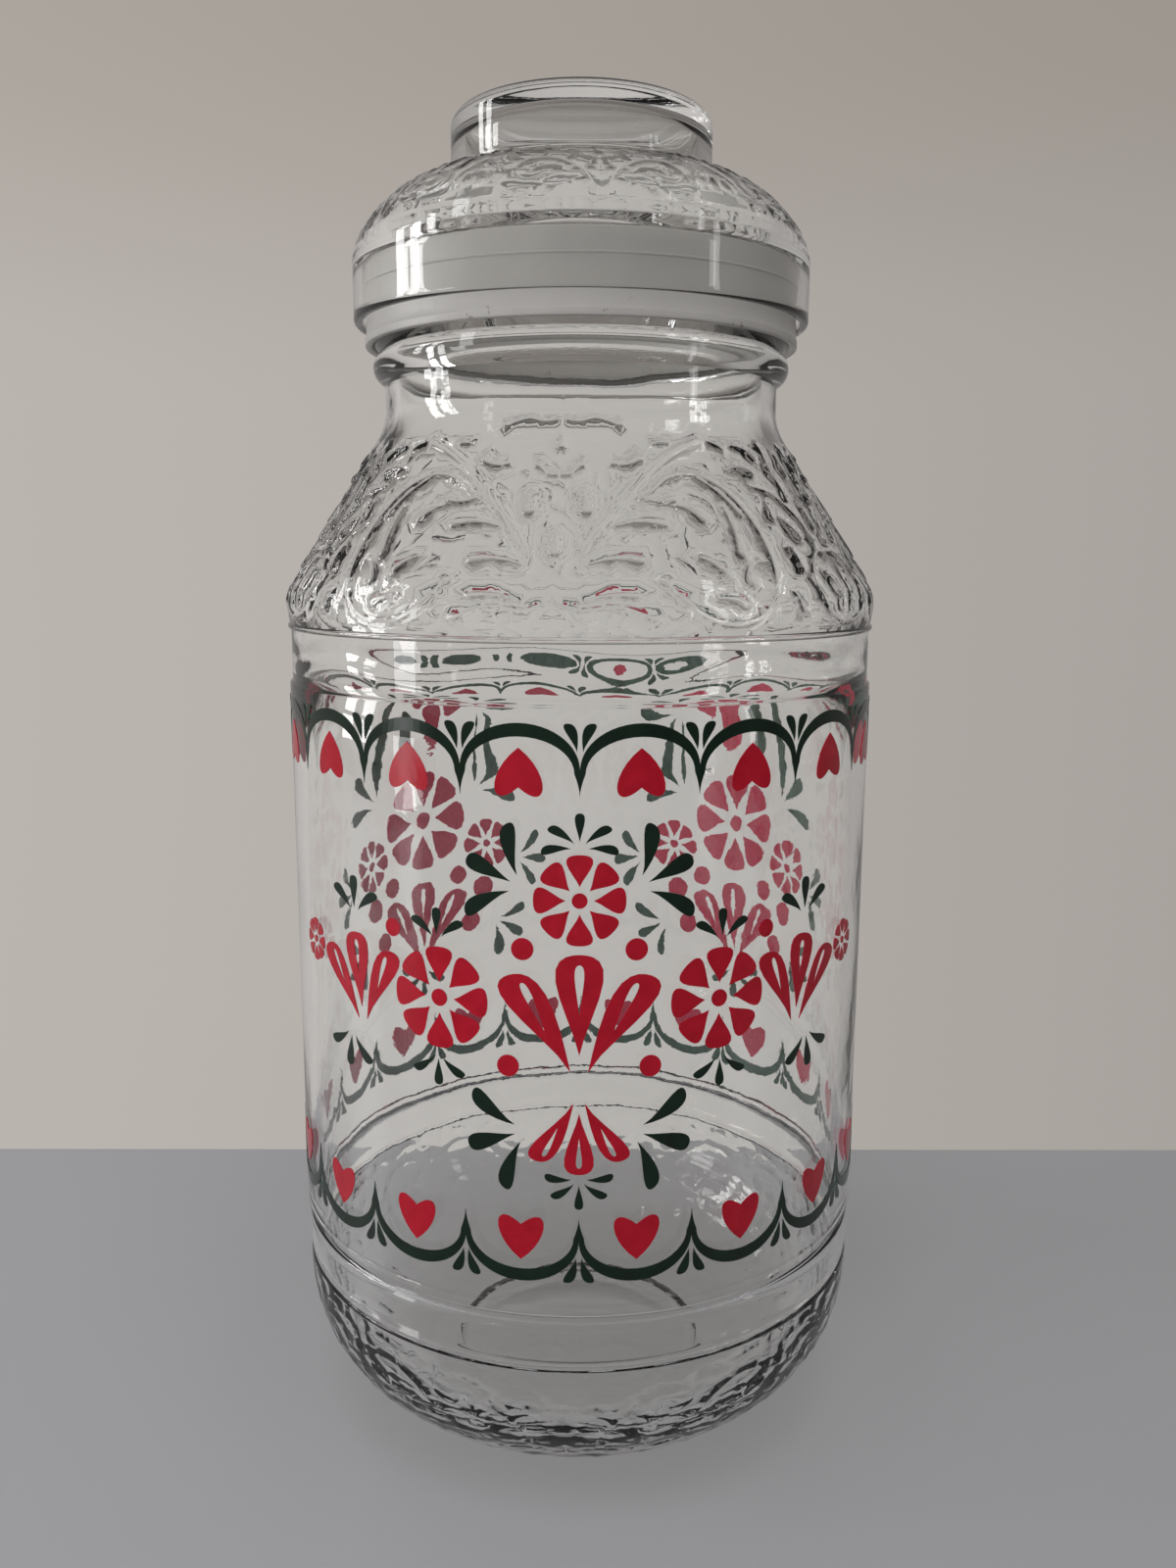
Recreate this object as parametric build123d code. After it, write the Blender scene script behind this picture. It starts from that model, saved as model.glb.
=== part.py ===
from build123d import *
import math
import os

# A clear glass rumtopf: a shouldered pot, a plastic collar that caps its mouth and a
# glass lid with a hollow round knob. Coloured enamel is fired onto the pot's wall.
# Millimetres, +Z up, the origin in the middle of the foot, the front facing -Y.

# Glass pot, from the foot upwards
foot_radius = 47.0
foot_ring_width = 9.0
push_up_depth = 3.0
foot_round_height = 40.0
lower_band_height = 18.5
lower_band_recess = 0.6
body_radius = 84.8
print_zone_height = 158.0
upper_band_height = 16.0
upper_band_recess = 0.8
step_height = 1.0
belt_height = 10.5
belt_projection = 0.6
shoulder_height = 41.0
neck_radius = 55.9
neck_flare = 2.5
neck_height = 15.5
bead_height = 8.5
bead_projection = 3.2
mouth_groove_depth = 2.3
mouth_ledge_height = 2.0
finish_projection = 3.1
finish_height = 18.0
rim_round = 1.5
wall = 4.0
floor_thickness = 7.0

# Fine rings cut or raised round the pot's wall
groove_radius = 1.5
fine_groove_radius = 0.8
fine_groove_height = 14.0
ring_radius = 0.9

# Scrolls that stand out from the shoulder, in panels round it that start left of the front
scroll_panel_count = 3
scroll_turn = -4.5
scroll_relief = 0.7
scroll_root_depth = 0.5
scroll_stem_width = 1.6

# Plastic collar that caps the mouth
collar_wall = 1.5
collar_hem_projection = 0.4
collar_hem_height = 2.0
collar_height = 20.6
collar_top_thickness = 1.8
collar_inner_leg_height = 11.0
collar_fit = 0.3
seat_gap = 0.2
collar_round = 0.5

# Glass lid
lid_fit = 0.5
skirt_wall = 2.5
skirt_drop = 14.8
skirt_rise = 2.3
skirt_edge_round = 1.2
ledge_width = 8.7
dome_foot_step = 1.0
dome_foot_rise = 3.5
dome_rise = 18.2
dome_bulge = 3.8
dome_inner_rise = 10.5
lid_wall = 4.0
knob_radius = 36.5
knob_height = 17.8
knob_round = 4.0
knob_top_thickness = 4.5
knob_root_round = 1.2

# Fired enamel on the print zone
print_gap = 0.02
print_thickness = 0.2
print_spacing = 0.25
top_border_margin = 3.4
bottom_border_margin = 11.0
scallop_count = 18
overrun = 5.0

# Scrolls in half a panel, from its middle, at 0 across, to its end, at 1. Places across are
# shares of half a panel, and places up and sizes are shares of the shoulder's slope.
# A leaf: across and up of its root, across and up of its head, half its width, its bow.
scroll_leaf_shares = (
    (0.185, 0.5, 0.335, 0.51, 0.028, 0.02),
    (0.1, 0.32, 0.245, 0.335, 0.028, 0.02),
    (0.41, 0.6, 0.475, 0.54, 0.03, 0.01),
    (0.57, 0.6, 0.575, 0.37, 0.032, 0.0),
    (0.43, 0.35, 0.495, 0.285, 0.03, 0.01),
    (0.63, 0.33, 0.575, 0.235, 0.034, -0.02),
    (0.46, 0.155, 0.54, 0.13, 0.028, 0.01),
    (0.07, 0.13, 0.225, 0.17, 0.022, 0.02),
    (0.64, 0.79, 0.765, 0.79, 0.028, 0.03),
    (0.73, 0.93, 0.82, 0.87, 0.028, 0.02),
    (0.9, 0.77, 0.905, 0.66, 0.026, 0.01),
    (0.81, 0.56, 0.87, 0.46, 0.028, 0.01),
    (0.73, 0.18, 0.76, 0.11, 0.028, 0.0),
    (0.11, 0.66, 0.12, 0.585, 0.03, 0.01),
    (0.19, 0.8, 0.29, 0.81, 0.026, -0.02),
    (0.93, 0.28, 0.955, 0.19, 0.028, 0.0),
)
scroll_middle_leaf_shares = (
    (0.0, 0.46, 0.0, 0.36, 0.024, 0.0),
    (0.0, 0.93, 0.0, 0.85, 0.024, 0.0),
)

# Stems through places across and up: those in each half, and those across a panel's middle or end
scroll_stem_shares = (
    ((0.02, 0.05), (0.11, 0.33), (0.24, 0.57), (0.34, 0.72), (0.44, 0.85), (0.55, 0.9)),
    (
        (0.31, 0.665), (0.39, 0.75), (0.49, 0.765), (0.6, 0.69), (0.675, 0.53), (0.69, 0.33),
        (0.65, 0.15), (0.57, 0.06), (0.46, 0.055), (0.37, 0.14), (0.31, 0.24),
    ),
    ((0.73, 0.72), (0.83, 0.68), (0.92, 0.57), (0.95, 0.45)),
)
scroll_middle_stem_shares = (
    ((-0.06, 0.81), (-0.03, 0.765), (0.03, 0.765), (0.06, 0.81)),
    (
        (0.965, 0.39), (0.88, 0.33), (0.85, 0.2), (0.88, 0.09), (0.96, 0.045),
        (1.04, 0.045), (1.12, 0.09), (1.15, 0.2), (1.12, 0.33), (1.035, 0.39),
    ),
)
scroll_leaf_root_share = 0.3
scroll_leaf_steps = 3
scroll_leaf_head_turns = (40, -40)

# A scallop of the border, in shares of its width: its tip is at its own zero height
scallop_rise_share = 0.6
scallop_fork_share = 0.22
scallop_inner_rise_share = 0.49
scallop_leg_across_share = 0.045
scallop_leg_up_share = 0.19
drop_across_share = 0.025
drop_up_share = 0.37
drop_length_share = 0.23
drop_width_share = 0.1
drop_lean_share = 0.075
heart_width_share = 0.4
heart_height_share = 0.4

# Control points of a brush stroke and of half a heart, in shares of width and length
stroke_root_shares = (0.12, 0.35)
stroke_head_share = 1.03
heart_side_shares = (0.68, 0.5)
heart_lobe_shares = (0.66, 1.38)
heart_notch_share = 0.81

# Straight runs along one curved side of a painted shape, and round a spot
curve_steps = 5
heart_steps = 9
disc_sides = 14

# Flowers and leaves, in shares of their own size
petal_count = 8
spray_turns = (-36, 0, 36)
fan_turns = (-78, -39, 0, 39, 78)
petal_root_share = 0.3
petal_fill_share = 0.78
core_share = 0.17
slit_length_share = 0.5
slit_width_share = 0.2
slit_start_share = 0.4
tulip_middle_shares = (0.14, 0.84, 0.4)
tulip_side_shares = (0.07, 0.92, 0.34, 0.2)
tulip_side_turn = 20.0
leaf_width_share = 0.36
leaf_bend_share = 0.3

# Layout of the front: what it is, across, up and size in shares of the picture's
# height, and its turn in degrees. Rows with an across share are mirrored.
front_red_shares = (
    ("rosette", 0.0, 0.265, 0.105, 0.0),
    ("tulip", 0.0, -0.14, 0.285, 0.0),
    ("rosette", 0.335, 0.015, 0.122, 0.0),
    ("tulip", 0.575, -0.085, 0.22, -6.0),
    ("rosette", 0.8, 0.065, 0.055, 0.0),
    ("berry", 0.13, 0.15, 0.026, 0.0),
    ("berry", 0.465, 0.165, 0.022, 0.0),
    ("berry", 0.165, -0.13, 0.026, 0.0),
    ("tulip", 0.0, -0.215, 0.18, 180.0),
)
front_green_shares = (
    ("fan", 0.0, 0.38, 0.065, 0.0),
    ("spray", 0.125, 0.29, 0.115, -64.0),
    ("spray", 0.115, -0.285, 0.12, -108.0),
    ("spray", 0.34, 0.145, 0.065, 0.0),
    ("spray", 0.34, -0.115, 0.065, 180.0),
    ("spray", 0.6, 0.165, 0.08, 0.0),
    ("spray", 0.62, -0.115, 0.08, 188.0),
    ("fan", 0.0, -0.4, 0.06, 180.0),
)

# Layout of each of the two bouquets at the back, written the same way
bouquet_red_shares = (
    ("rosette", 0.0, 0.17, 0.16, 0.0),
    ("rosette", 0.25, 0.065, 0.085, 0.0),
    ("tulip", 0.0, -0.29, 0.26, 0.0),
    ("berry", 0.14, -0.03, 0.032, 0.0),
    ("berry", 0.235, -0.085, 0.038, 0.0),
    ("berry", 0.19, -0.2, 0.034, 0.0),
)
bouquet_green_shares = (
    ("fan", 0.0, 0.345, 0.1, 0.0),
    ("spray", 0.2, 0.245, 0.12, -50.0),
    ("spray", 0.355, 0.01, 0.09, -95.0),
    ("spray", 0.27, -0.2, 0.095, -120.0),
    ("fan", 0.0, -0.32, 0.08, 180.0),
)
bouquet_turn = 43.0

# Heights and radii that follow from the sizes above
lower_band_radius = body_radius - lower_band_recess
upper_band_radius = body_radius - upper_band_recess
belt_radius = body_radius + belt_projection
shoulder_top_radius = neck_radius + neck_flare
bead_radius = neck_radius + bead_projection
finish_radius = neck_radius + finish_projection
mouth_groove_radius = finish_radius - mouth_groove_depth
mouth_radius = neck_radius - wall
inner_radius = body_radius - wall
print_zone_z = foot_round_height + lower_band_height
upper_band_z = print_zone_z + print_zone_height
belt_z = upper_band_z + upper_band_height
shoulder_z = belt_z + belt_height
neck_z = shoulder_z + shoulder_height
bead_z = neck_z + neck_height
mouth_groove_z = bead_z + bead_height
finish_z = mouth_groove_z + mouth_ledge_height
rim_z = finish_z + finish_height

shoulder_drop = upper_band_radius - shoulder_top_radius
shoulder_slope = math.hypot(shoulder_drop, shoulder_height)
shoulder_middle_radius = (upper_band_radius + shoulder_top_radius) / 2
scroll_half_panel = math.pi * shoulder_middle_radius / scroll_panel_count

collar_bore = finish_radius + collar_fit
collar_radius = collar_bore + collar_wall
collar_hem_radius = collar_radius + collar_hem_projection
collar_leg_outer = mouth_radius - collar_fit
collar_leg_inner = collar_leg_outer - collar_wall
collar_ceiling_z = rim_z + seat_gap
collar_top_z = collar_ceiling_z + collar_top_thickness
collar_bottom_z = collar_top_z - collar_height

skirt_bore = collar_hem_radius + lid_fit
skirt_radius = skirt_bore + skirt_wall
ledge_bore = skirt_bore - ledge_width
lid_seat_z = collar_top_z + seat_gap
skirt_bottom_z = lid_seat_z - skirt_drop
skirt_top_z = lid_seat_z + skirt_rise
dome_foot_radius = skirt_radius - dome_foot_step
dome_foot_z = skirt_top_z + dome_foot_rise
knob_z = dome_foot_z + dome_rise
knob_top_z = knob_z + knob_height
knob_bore = knob_radius - lid_wall

scallop_width = 2 * math.pi * body_radius / scallop_count
scallop_rise = scallop_rise_share * scallop_width
top_tip_z = upper_band_z - top_border_margin - scallop_rise
bottom_tip_z = print_zone_z + bottom_border_margin + scallop_rise
picture_height = top_tip_z - bottom_tip_z
picture_middle_z = (top_tip_z + bottom_tip_z) / 2


def turned(edges):
    """Spin a closed outline of radius and height about the pot's axis."""
    outline = Face(Wire(edges))
    return revolve(Plane.XZ * outline, axis=Axis.Z)


def ring(radius, height, section):
    """A round-sectioned ring about the pot's axis."""
    return Pos(0, 0, height) * Torus(radius, section)


def pot_outside():
    """Edges of the outer outline, from the middle of the foot to the mouth."""
    ring_inner = foot_radius - foot_ring_width
    sphere = (ring_inner ** 2 + push_up_depth ** 2) / (2 * push_up_depth)
    spread = math.degrees(math.asin(ring_inner / sphere))
    round_width = lower_band_radius - foot_radius
    lower_step_z = print_zone_z - step_height
    upper_step_z = upper_band_z + step_height
    flare_start = (shoulder_top_radius, neck_z)
    flare_end_z = neck_z + neck_height / 2
    flare_slope = (upper_band_radius - shoulder_top_radius) / shoulder_height
    flare_knee = (neck_radius, neck_z + neck_flare / flare_slope)
    bead_middle = (bead_radius, bead_z + bead_height / 2)
    belt_middle = (belt_radius, belt_z + belt_height / 2)
    return [
        CenterArc((0, push_up_depth - sphere), sphere, 90 - spread, spread),
        Line((ring_inner, 0), (foot_radius, 0)),
        EllipticalCenterArc((foot_radius, foot_round_height), round_width, foot_round_height, 270),
        Line((lower_band_radius, foot_round_height), (lower_band_radius, lower_step_z)),
        Line((lower_band_radius, lower_step_z), (body_radius, print_zone_z)),
        Line((body_radius, print_zone_z), (body_radius, upper_band_z)),
        Line((body_radius, upper_band_z), (upper_band_radius, upper_step_z)),
        Line((upper_band_radius, upper_step_z), (upper_band_radius, belt_z)),
        ThreePointArc((upper_band_radius, belt_z), belt_middle, (upper_band_radius, shoulder_z)),
        Line((upper_band_radius, shoulder_z), flare_start),
        Bezier(flare_start, flare_knee, (neck_radius, flare_end_z)),
        Line((neck_radius, flare_end_z), (neck_radius, bead_z)),
        ThreePointArc((neck_radius, bead_z), bead_middle, (mouth_groove_radius, mouth_groove_z)),
        Line((mouth_groove_radius, mouth_groove_z), (finish_radius, finish_z)),
        Line((finish_radius, finish_z), (finish_radius, rim_z - rim_round)),
    ]


def pot_rim():
    """Edges over the rim, from the outer wall to the bore of the mouth."""
    outer_middle = (finish_radius - rim_round, rim_z - rim_round)
    inner_middle = (mouth_radius + rim_round, rim_z - rim_round)
    return [
        CenterArc(outer_middle, rim_round, 0, 90),
        Line((finish_radius - rim_round, rim_z), (mouth_radius + rim_round, rim_z)),
        CenterArc(inner_middle, rim_round, 90, 90),
    ]


def pot_inside():
    """Edges of the bore, from the mouth down to the middle of the floor."""
    run = upper_band_radius - shoulder_top_radius
    slant = math.hypot(run, shoulder_height)
    inset_r = wall * shoulder_height / slant
    inset_z = wall * run / slant
    cone_top = (shoulder_top_radius - inset_r, neck_z - inset_z)
    cone_foot = (upper_band_radius - inset_r, shoulder_z - inset_z)
    knee = (mouth_radius, cone_top[1] + (cone_top[0] - mouth_radius) * shoulder_height / run)
    knee_top = (mouth_radius, 2 * knee[1] - cone_top[1])
    floor_radius = foot_radius
    round_width = inner_radius - floor_radius
    round_top = floor_thickness + foot_round_height - wall
    return [
        Line((mouth_radius, rim_z - rim_round), knee_top),
        Bezier(knee_top, knee, cone_top),
        Line(cone_top, cone_foot),
        Line(cone_foot, (inner_radius, belt_z)),
        Line((inner_radius, belt_z), (inner_radius, round_top)),
        EllipticalCenterArc((floor_radius, round_top), round_width, round_top - floor_thickness, 270),
        Line((floor_radius, floor_thickness), (0, floor_thickness)),
        Line((0, floor_thickness), (0, push_up_depth)),
    ]


def scroll_layer():
    """The thin cone, rooted in the shoulder, that all its scrolls are cut from."""
    across, up = shoulder_height / shoulder_slope, shoulder_drop / shoulder_slope
    foot, top = (upper_band_radius, shoulder_z), (shoulder_top_radius, neck_z)
    places = ((foot, -scroll_root_depth), (foot, scroll_relief), (top, scroll_relief), (top, -scroll_root_depth))
    corners = [(radius + depth * across, height + depth * up) for (radius, height), depth in places]
    return turned([Line(start, end) for start, end in zip(corners, corners[1:] + corners[:1])])


def band_sides(points, half_widths):
    """Points along the left and the right side of a band that follows the given points."""
    left, right = [], []
    for number, (x, y) in enumerate(points):
        x0, y0 = points[max(number - 1, 0)]
        x1, y1 = points[min(number + 1, len(points) - 1)]
        share = half_widths[number] / math.hypot(x1 - x0, y1 - y0)
        offset_x, offset_y = (y0 - y1) * share, (x1 - x0) * share
        left.append((x + offset_x, y + offset_y))
        right.append((x - offset_x, y - offset_y))
    return left, right


def scroll_leaf(shares):
    """Corners of a leaf, on the shoulder laid flat: it widens from its root to a round head."""
    root_x, head_x = shares[0] * scroll_half_panel, shares[2] * scroll_half_panel
    root_y, head_y, half_width, bow = (shares[place] * shoulder_slope for place in (1, 3, 4, 5))
    way = math.atan2(head_y - root_y, head_x - root_x)
    points, half_widths = [], []
    for step in range(scroll_leaf_steps):
        t = step / (scroll_leaf_steps - 1)
        off = bow * 4 * t * (1 - t)
        x = root_x + (head_x - root_x) * t - off * math.sin(way)
        y = root_y + (head_y - root_y) * t + off * math.cos(way)
        points.append((x, y))
        half_widths.append(half_width * (scroll_leaf_root_share + (1 - scroll_leaf_root_share) * t))
    left, right = band_sides(points, half_widths)
    turns = [way + math.radians(turn) for turn in scroll_leaf_head_turns]
    head = [(head_x + half_width * math.cos(a), head_y + half_width * math.sin(a)) for a in turns]
    return left + head + right[::-1]


def scroll_stem(shares):
    """Corners of an even stem, on the shoulder laid flat."""
    points = [(across * scroll_half_panel, up * shoulder_slope) for across, up in shares]
    left, right = band_sides(points, [scroll_stem_width / 2] * len(points))
    return left + right[::-1]


def raised(corners, layer):
    """A stroke on the shoulder: flat corners wrapped on the cone, pressed through the layer."""
    middle = sum(x for x, y in corners) / len(corners) / shoulder_middle_radius
    wrapped = []
    for x, y in corners:
        radius = upper_band_radius - shoulder_drop * y / shoulder_slope
        angle = x / shoulder_middle_radius - middle
        wrapped.append((radius * math.sin(angle), shoulder_z + shoulder_height * y / shoulder_slope))
    prism = extrude(Plane.XZ * outline(wrapped), amount=body_radius + overrun, dir=(0, -1, 0))
    return layer & (Rot(0, 0, math.degrees(middle)) * prism)


def make_scrolls():
    """Every raised stroke on the shoulder, panel by panel."""
    layer = scroll_layer()
    half = [raised(scroll_leaf(row), layer) for row in scroll_leaf_shares]
    half += [raised(scroll_stem(row), layer) for row in scroll_stem_shares]
    middle = [raised(scroll_leaf(row), layer) for row in scroll_middle_leaf_shares]
    middle += [raised(scroll_stem(row), layer) for row in scroll_middle_stem_shares]
    panel = half + [mirror(stroke, about=Plane.YZ) for stroke in half] + middle
    turns = [scroll_turn + 360 / scroll_panel_count * number for number in range(scroll_panel_count)]
    return [Rot(0, 0, turn) * solid for turn in turns for stroke in panel for solid in stroke.solids()]


def make_jar():
    """The glass pot, with its grooves, raised rings and scrolls."""
    jar = turned(pot_outside() + pot_rim() + pot_inside())
    jar = jar - ring(body_radius, print_zone_z, groove_radius)
    jar = jar - ring(lower_band_radius, print_zone_z - fine_groove_height, fine_groove_radius)
    jar = jar + ring(upper_band_radius, belt_z, ring_radius)
    return jar.fuse(*make_scrolls())


def make_collar():
    """The plastic collar: an upturned channel that caps the glass rim."""
    hem_z = collar_bottom_z + collar_hem_height
    leg_bottom_z = collar_top_z - collar_inner_leg_height
    outer_middle = (collar_radius - collar_round, collar_top_z - collar_round)
    inner_middle = (collar_leg_inner + collar_round, collar_top_z - collar_round)
    return turned([
        Line((collar_bore, collar_bottom_z), (collar_hem_radius, collar_bottom_z)),
        Line((collar_hem_radius, collar_bottom_z), (collar_hem_radius, hem_z)),
        Line((collar_hem_radius, hem_z), (collar_radius, hem_z + collar_hem_projection)),
        Line((collar_radius, hem_z + collar_hem_projection), (collar_radius, collar_top_z - collar_round)),
        CenterArc(outer_middle, collar_round, 0, 90),
        Line((collar_radius - collar_round, collar_top_z), (collar_leg_inner + collar_round, collar_top_z)),
        CenterArc(inner_middle, collar_round, 90, 90),
        Line((collar_leg_inner, collar_top_z - collar_round), (collar_leg_inner, leg_bottom_z)),
        Line((collar_leg_inner, leg_bottom_z), (collar_leg_outer, leg_bottom_z)),
        Line((collar_leg_outer, leg_bottom_z), (collar_leg_outer, collar_ceiling_z)),
        Line((collar_leg_outer, collar_ceiling_z), (collar_bore, collar_ceiling_z)),
        Line((collar_bore, collar_ceiling_z), (collar_bore, collar_bottom_z)),
    ])


def make_lid():
    """The glass lid: a skirt, a dome and a hollow round knob in one pressing."""
    dome_top = (knob_radius + knob_root_round, knob_z)
    dome_foot = (dome_foot_radius, dome_foot_z)
    edge_bottom = skirt_bore + skirt_wall - skirt_edge_round
    inner_foot = (ledge_bore, lid_seat_z + dome_inner_rise)
    inner_top = (knob_bore, knob_z - lid_wall)
    bore_round = knob_round
    bore_top_z = knob_top_z - knob_top_thickness
    return turned([
        Line((0, bore_top_z), (0, knob_top_z)),
        Line((0, knob_top_z), (knob_radius - knob_round, knob_top_z)),
        CenterArc((knob_radius - knob_round, knob_top_z - knob_round), knob_round, 0, 90),
        Line((knob_radius, knob_top_z - knob_round), (knob_radius, knob_z + knob_root_round)),
        CenterArc((knob_radius + knob_root_round, knob_z + knob_root_round), knob_root_round, 180, 90),
        SagittaArc(dome_top, dome_foot, dome_bulge),
        Line(dome_foot, (skirt_radius, skirt_top_z)),
        Line((skirt_radius, skirt_top_z), (skirt_radius, skirt_bottom_z + skirt_edge_round)),
        CenterArc((edge_bottom, skirt_bottom_z + skirt_edge_round), skirt_edge_round, 270, 90),
        Line((edge_bottom, skirt_bottom_z), (skirt_bore, skirt_bottom_z)),
        Line((skirt_bore, skirt_bottom_z), (skirt_bore, lid_seat_z)),
        Line((skirt_bore, lid_seat_z), (ledge_bore, lid_seat_z)),
        Line((ledge_bore, lid_seat_z), inner_foot),
        SagittaArc(inner_foot, inner_top, -dome_bulge),
        Line(inner_top, (knob_bore, bore_top_z - bore_round)),
        CenterArc((knob_bore - bore_round, bore_top_z - bore_round), bore_round, 0, 90),
        Line((knob_bore - bore_round, bore_top_z), (0, bore_top_z)),
    ])


def outline(points):
    """A flat face inside a closed outline of straight runs."""
    return make_face(Polyline(*points, close=True))


def curve_points(start, start_pull, end_pull, end, steps):
    """Points along a cubic curve without its end, closer together towards the end."""
    points = []
    for step in range(steps):
        t = math.sin(math.pi / 2 * step / steps)
        weights = ((1 - t) ** 3, 3 * (1 - t) ** 2 * t, 3 * (1 - t) * t ** 2, t ** 3)
        corners = (start, start_pull, end_pull, end)
        points.append(tuple(sum(w * c[axis] for w, c in zip(weights, corners)) for axis in (0, 1)))
    return points


def leaf_outline(left_pulls, right_pulls, head, steps):
    """A face between two cubic curves that leave zero and meet at the head."""
    left = curve_points((0, 0), *left_pulls, head, steps)
    right = curve_points((0, 0), *right_pulls, head, steps)
    return outline(left + [head] + right[:0:-1])


def arch_points(middle, half_width, foot, rise):
    """Points over half an ellipse, from its left foot to its right foot."""
    angles = [math.pi * step / (2 * curve_steps) for step in range(2 * curve_steps + 1)]
    return [(middle - half_width * math.cos(a), foot + rise * math.sin(a)) for a in angles]


def stroke(length, width, bend):
    """A brush stroke: a pointed root at zero, a round head, leaning by the bend."""
    root_x = stroke_root_shares[0] * width
    root_y = stroke_root_shares[1] * length
    head_x = stroke_head_share * width
    left_pulls = ((-root_x, root_y), (bend - head_x, length))
    right_pulls = ((root_x, root_y), (bend + head_x, length))
    return leaf_outline(left_pulls, right_pulls, (bend, length), curve_steps)


def heart(width, height):
    """A heart that stands on its tip at zero."""
    side_x = heart_side_shares[0] * width
    side_y = heart_side_shares[1] * height
    lobe_x = heart_lobe_shares[0] * width
    lobe_y = heart_lobe_shares[1] * height
    left_pulls = ((-side_x, side_y), (-lobe_x, lobe_y))
    right_pulls = ((side_x, side_y), (lobe_x, lobe_y))
    return leaf_outline(left_pulls, right_pulls, (0, heart_notch_share * height), heart_steps)


def disc(radius):
    """A round spot."""
    return RegularPolygon(radius, disc_sides).face()


def petal(length, width, bend):
    """A stroke with a bare slit that shows the glass."""
    slit = stroke(slit_length_share * length, slit_width_share * width, slit_width_share * bend)
    slit_place = Pos(slit_start_share * bend, slit_start_share * length)
    return (stroke(length, width, bend) - slit_place * slit).face()


def rosette(size):
    """Petals about a round core."""
    length = size * (1 - petal_root_share)
    width = 2 * size * math.sin(math.pi / petal_count) * petal_fill_share
    blades = [
        Rot(0, 0, 360 / petal_count * number) * Pos(0, petal_root_share * size) * stroke(length, width, 0)
        for number in range(petal_count)
    ]
    return blades + [disc(core_share * size)]


def tulip(size):
    """A middle petal between two that lean outwards."""
    up_share, length_share, width_share = tulip_middle_shares
    middle = Pos(0, up_share * size) * petal(length_share * size, width_share * size, 0)
    petals = [middle]
    across_share, length_share, width_share, bend_share = tulip_side_shares
    for side in (-1, 1):
        blade = petal(length_share * size, width_share * size, side * bend_share * size)
        petals.append(Pos(side * across_share * size, 0) * Rot(0, 0, -side * tulip_side_turn) * blade)
    return petals


def leaves(size, turns):
    """Leaf strokes that spread from one root, each bent the way it turns."""
    blades = []
    for turn in turns:
        bend = -math.copysign(leaf_bend_share, turn) * size if turn else 0
        blade = stroke(size, leaf_width_share * size, bend)
        blades.append(Rot(0, 0, turn) * Pos(0, leaf_bend_share * size) * blade)
    return blades


def motif(kind, size):
    """The faces of one painted motif, drawn about zero."""
    drawings = {
        "rosette": lambda: rosette(size),
        "tulip": lambda: tulip(size),
        "stroke": lambda: [stroke(size, leaf_width_share * size, leaf_bend_share * size)],
        "berry": lambda: [disc(size)],
        "spray": lambda: leaves(size, spray_turns),
        "fan": lambda: leaves(size, fan_turns),
    }
    return drawings[kind]()


def make_layer():
    """The thin tube round the print zone that all enamel is cut from."""
    inner = body_radius + print_gap
    layer = Cylinder(inner + print_thickness, print_zone_height) - Cylinder(inner, print_zone_height)
    return Pos(0, 0, print_zone_z + print_zone_height / 2) * layer


def enamel(faces, across, up, turn):
    """Lay flat faces on the front of the wall: along its girth, up it, and turned."""
    place = Rot(0, 0, math.degrees(across / body_radius))
    solids = []
    for face in faces:
        flat = Plane.XZ * (Pos(0, up) * Rot(0, 0, turn) * face)
        prism = extrude(flat, amount=body_radius + overrun, dir=(0, -1, 0))
        solids += (enamel_layer & (place * prism)).solids()
    return solids


def scallop():
    """One arch of the border, its two cusps pointing down at zero height."""
    half = scallop_width / 2
    end = half - print_spacing / 2
    leg_x = half - scallop_leg_across_share * scallop_width
    leg_y = scallop_leg_up_share * scallop_width
    crest = scallop_inner_rise_share * scallop_width
    fork = scallop_fork_share * scallop_width
    inside = arch_points(0, leg_x, leg_y, crest - leg_y)
    outside = arch_points(0, end, fork, scallop_rise - fork)
    return outline([(-end, 0)] + inside + [(end, 0)] + outside[::-1])


def border_green():
    """One scallop and the pair of drops in the fork at its left end."""
    drop_length = drop_length_share * scallop_width
    drop_width = drop_width_share * scallop_width
    lean = drop_lean_share * scallop_width
    faces = [scallop()]
    for side in (-1, 1):
        drop = stroke(drop_length, drop_width, side * lean)
        across = side * drop_across_share * scallop_width - scallop_width / 2
        faces.append(Pos(across, drop_up_share * scallop_width) * drop)
    return faces


def border_hearts():
    """The heart under one scallop, its tip towards the arch."""
    height = heart_height_share * scallop_width
    return [Pos(0, height) * Rot(0, 0, 180) * heart(heart_width_share * scallop_width, height)]


def border(faces, tip_z, turn):
    """One border unit laid on the wall and repeated round the girth."""
    unit = enamel(faces, scallop_width / 2, tip_z, turn)
    step = 360 / scallop_count
    return [Rot(0, 0, step * number) * solid for number in range(scallop_count) for solid in unit]


def picture(rows, views):
    """Lay a table of motifs on the front, mirrored about its middle, then turn it to its views."""
    solids = []
    for kind, across_share, up_share, size_share, turn in rows:
        up = picture_middle_z + up_share * picture_height
        laid = enamel(motif(kind, size_share * picture_height), across_share * picture_height, up, turn)
        solids += laid
        if across_share:
            solids += [mirror(solid, about=Plane.YZ) for solid in laid]
    return [Rot(0, 0, view) * solid for view in views for solid in solids]


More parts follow.
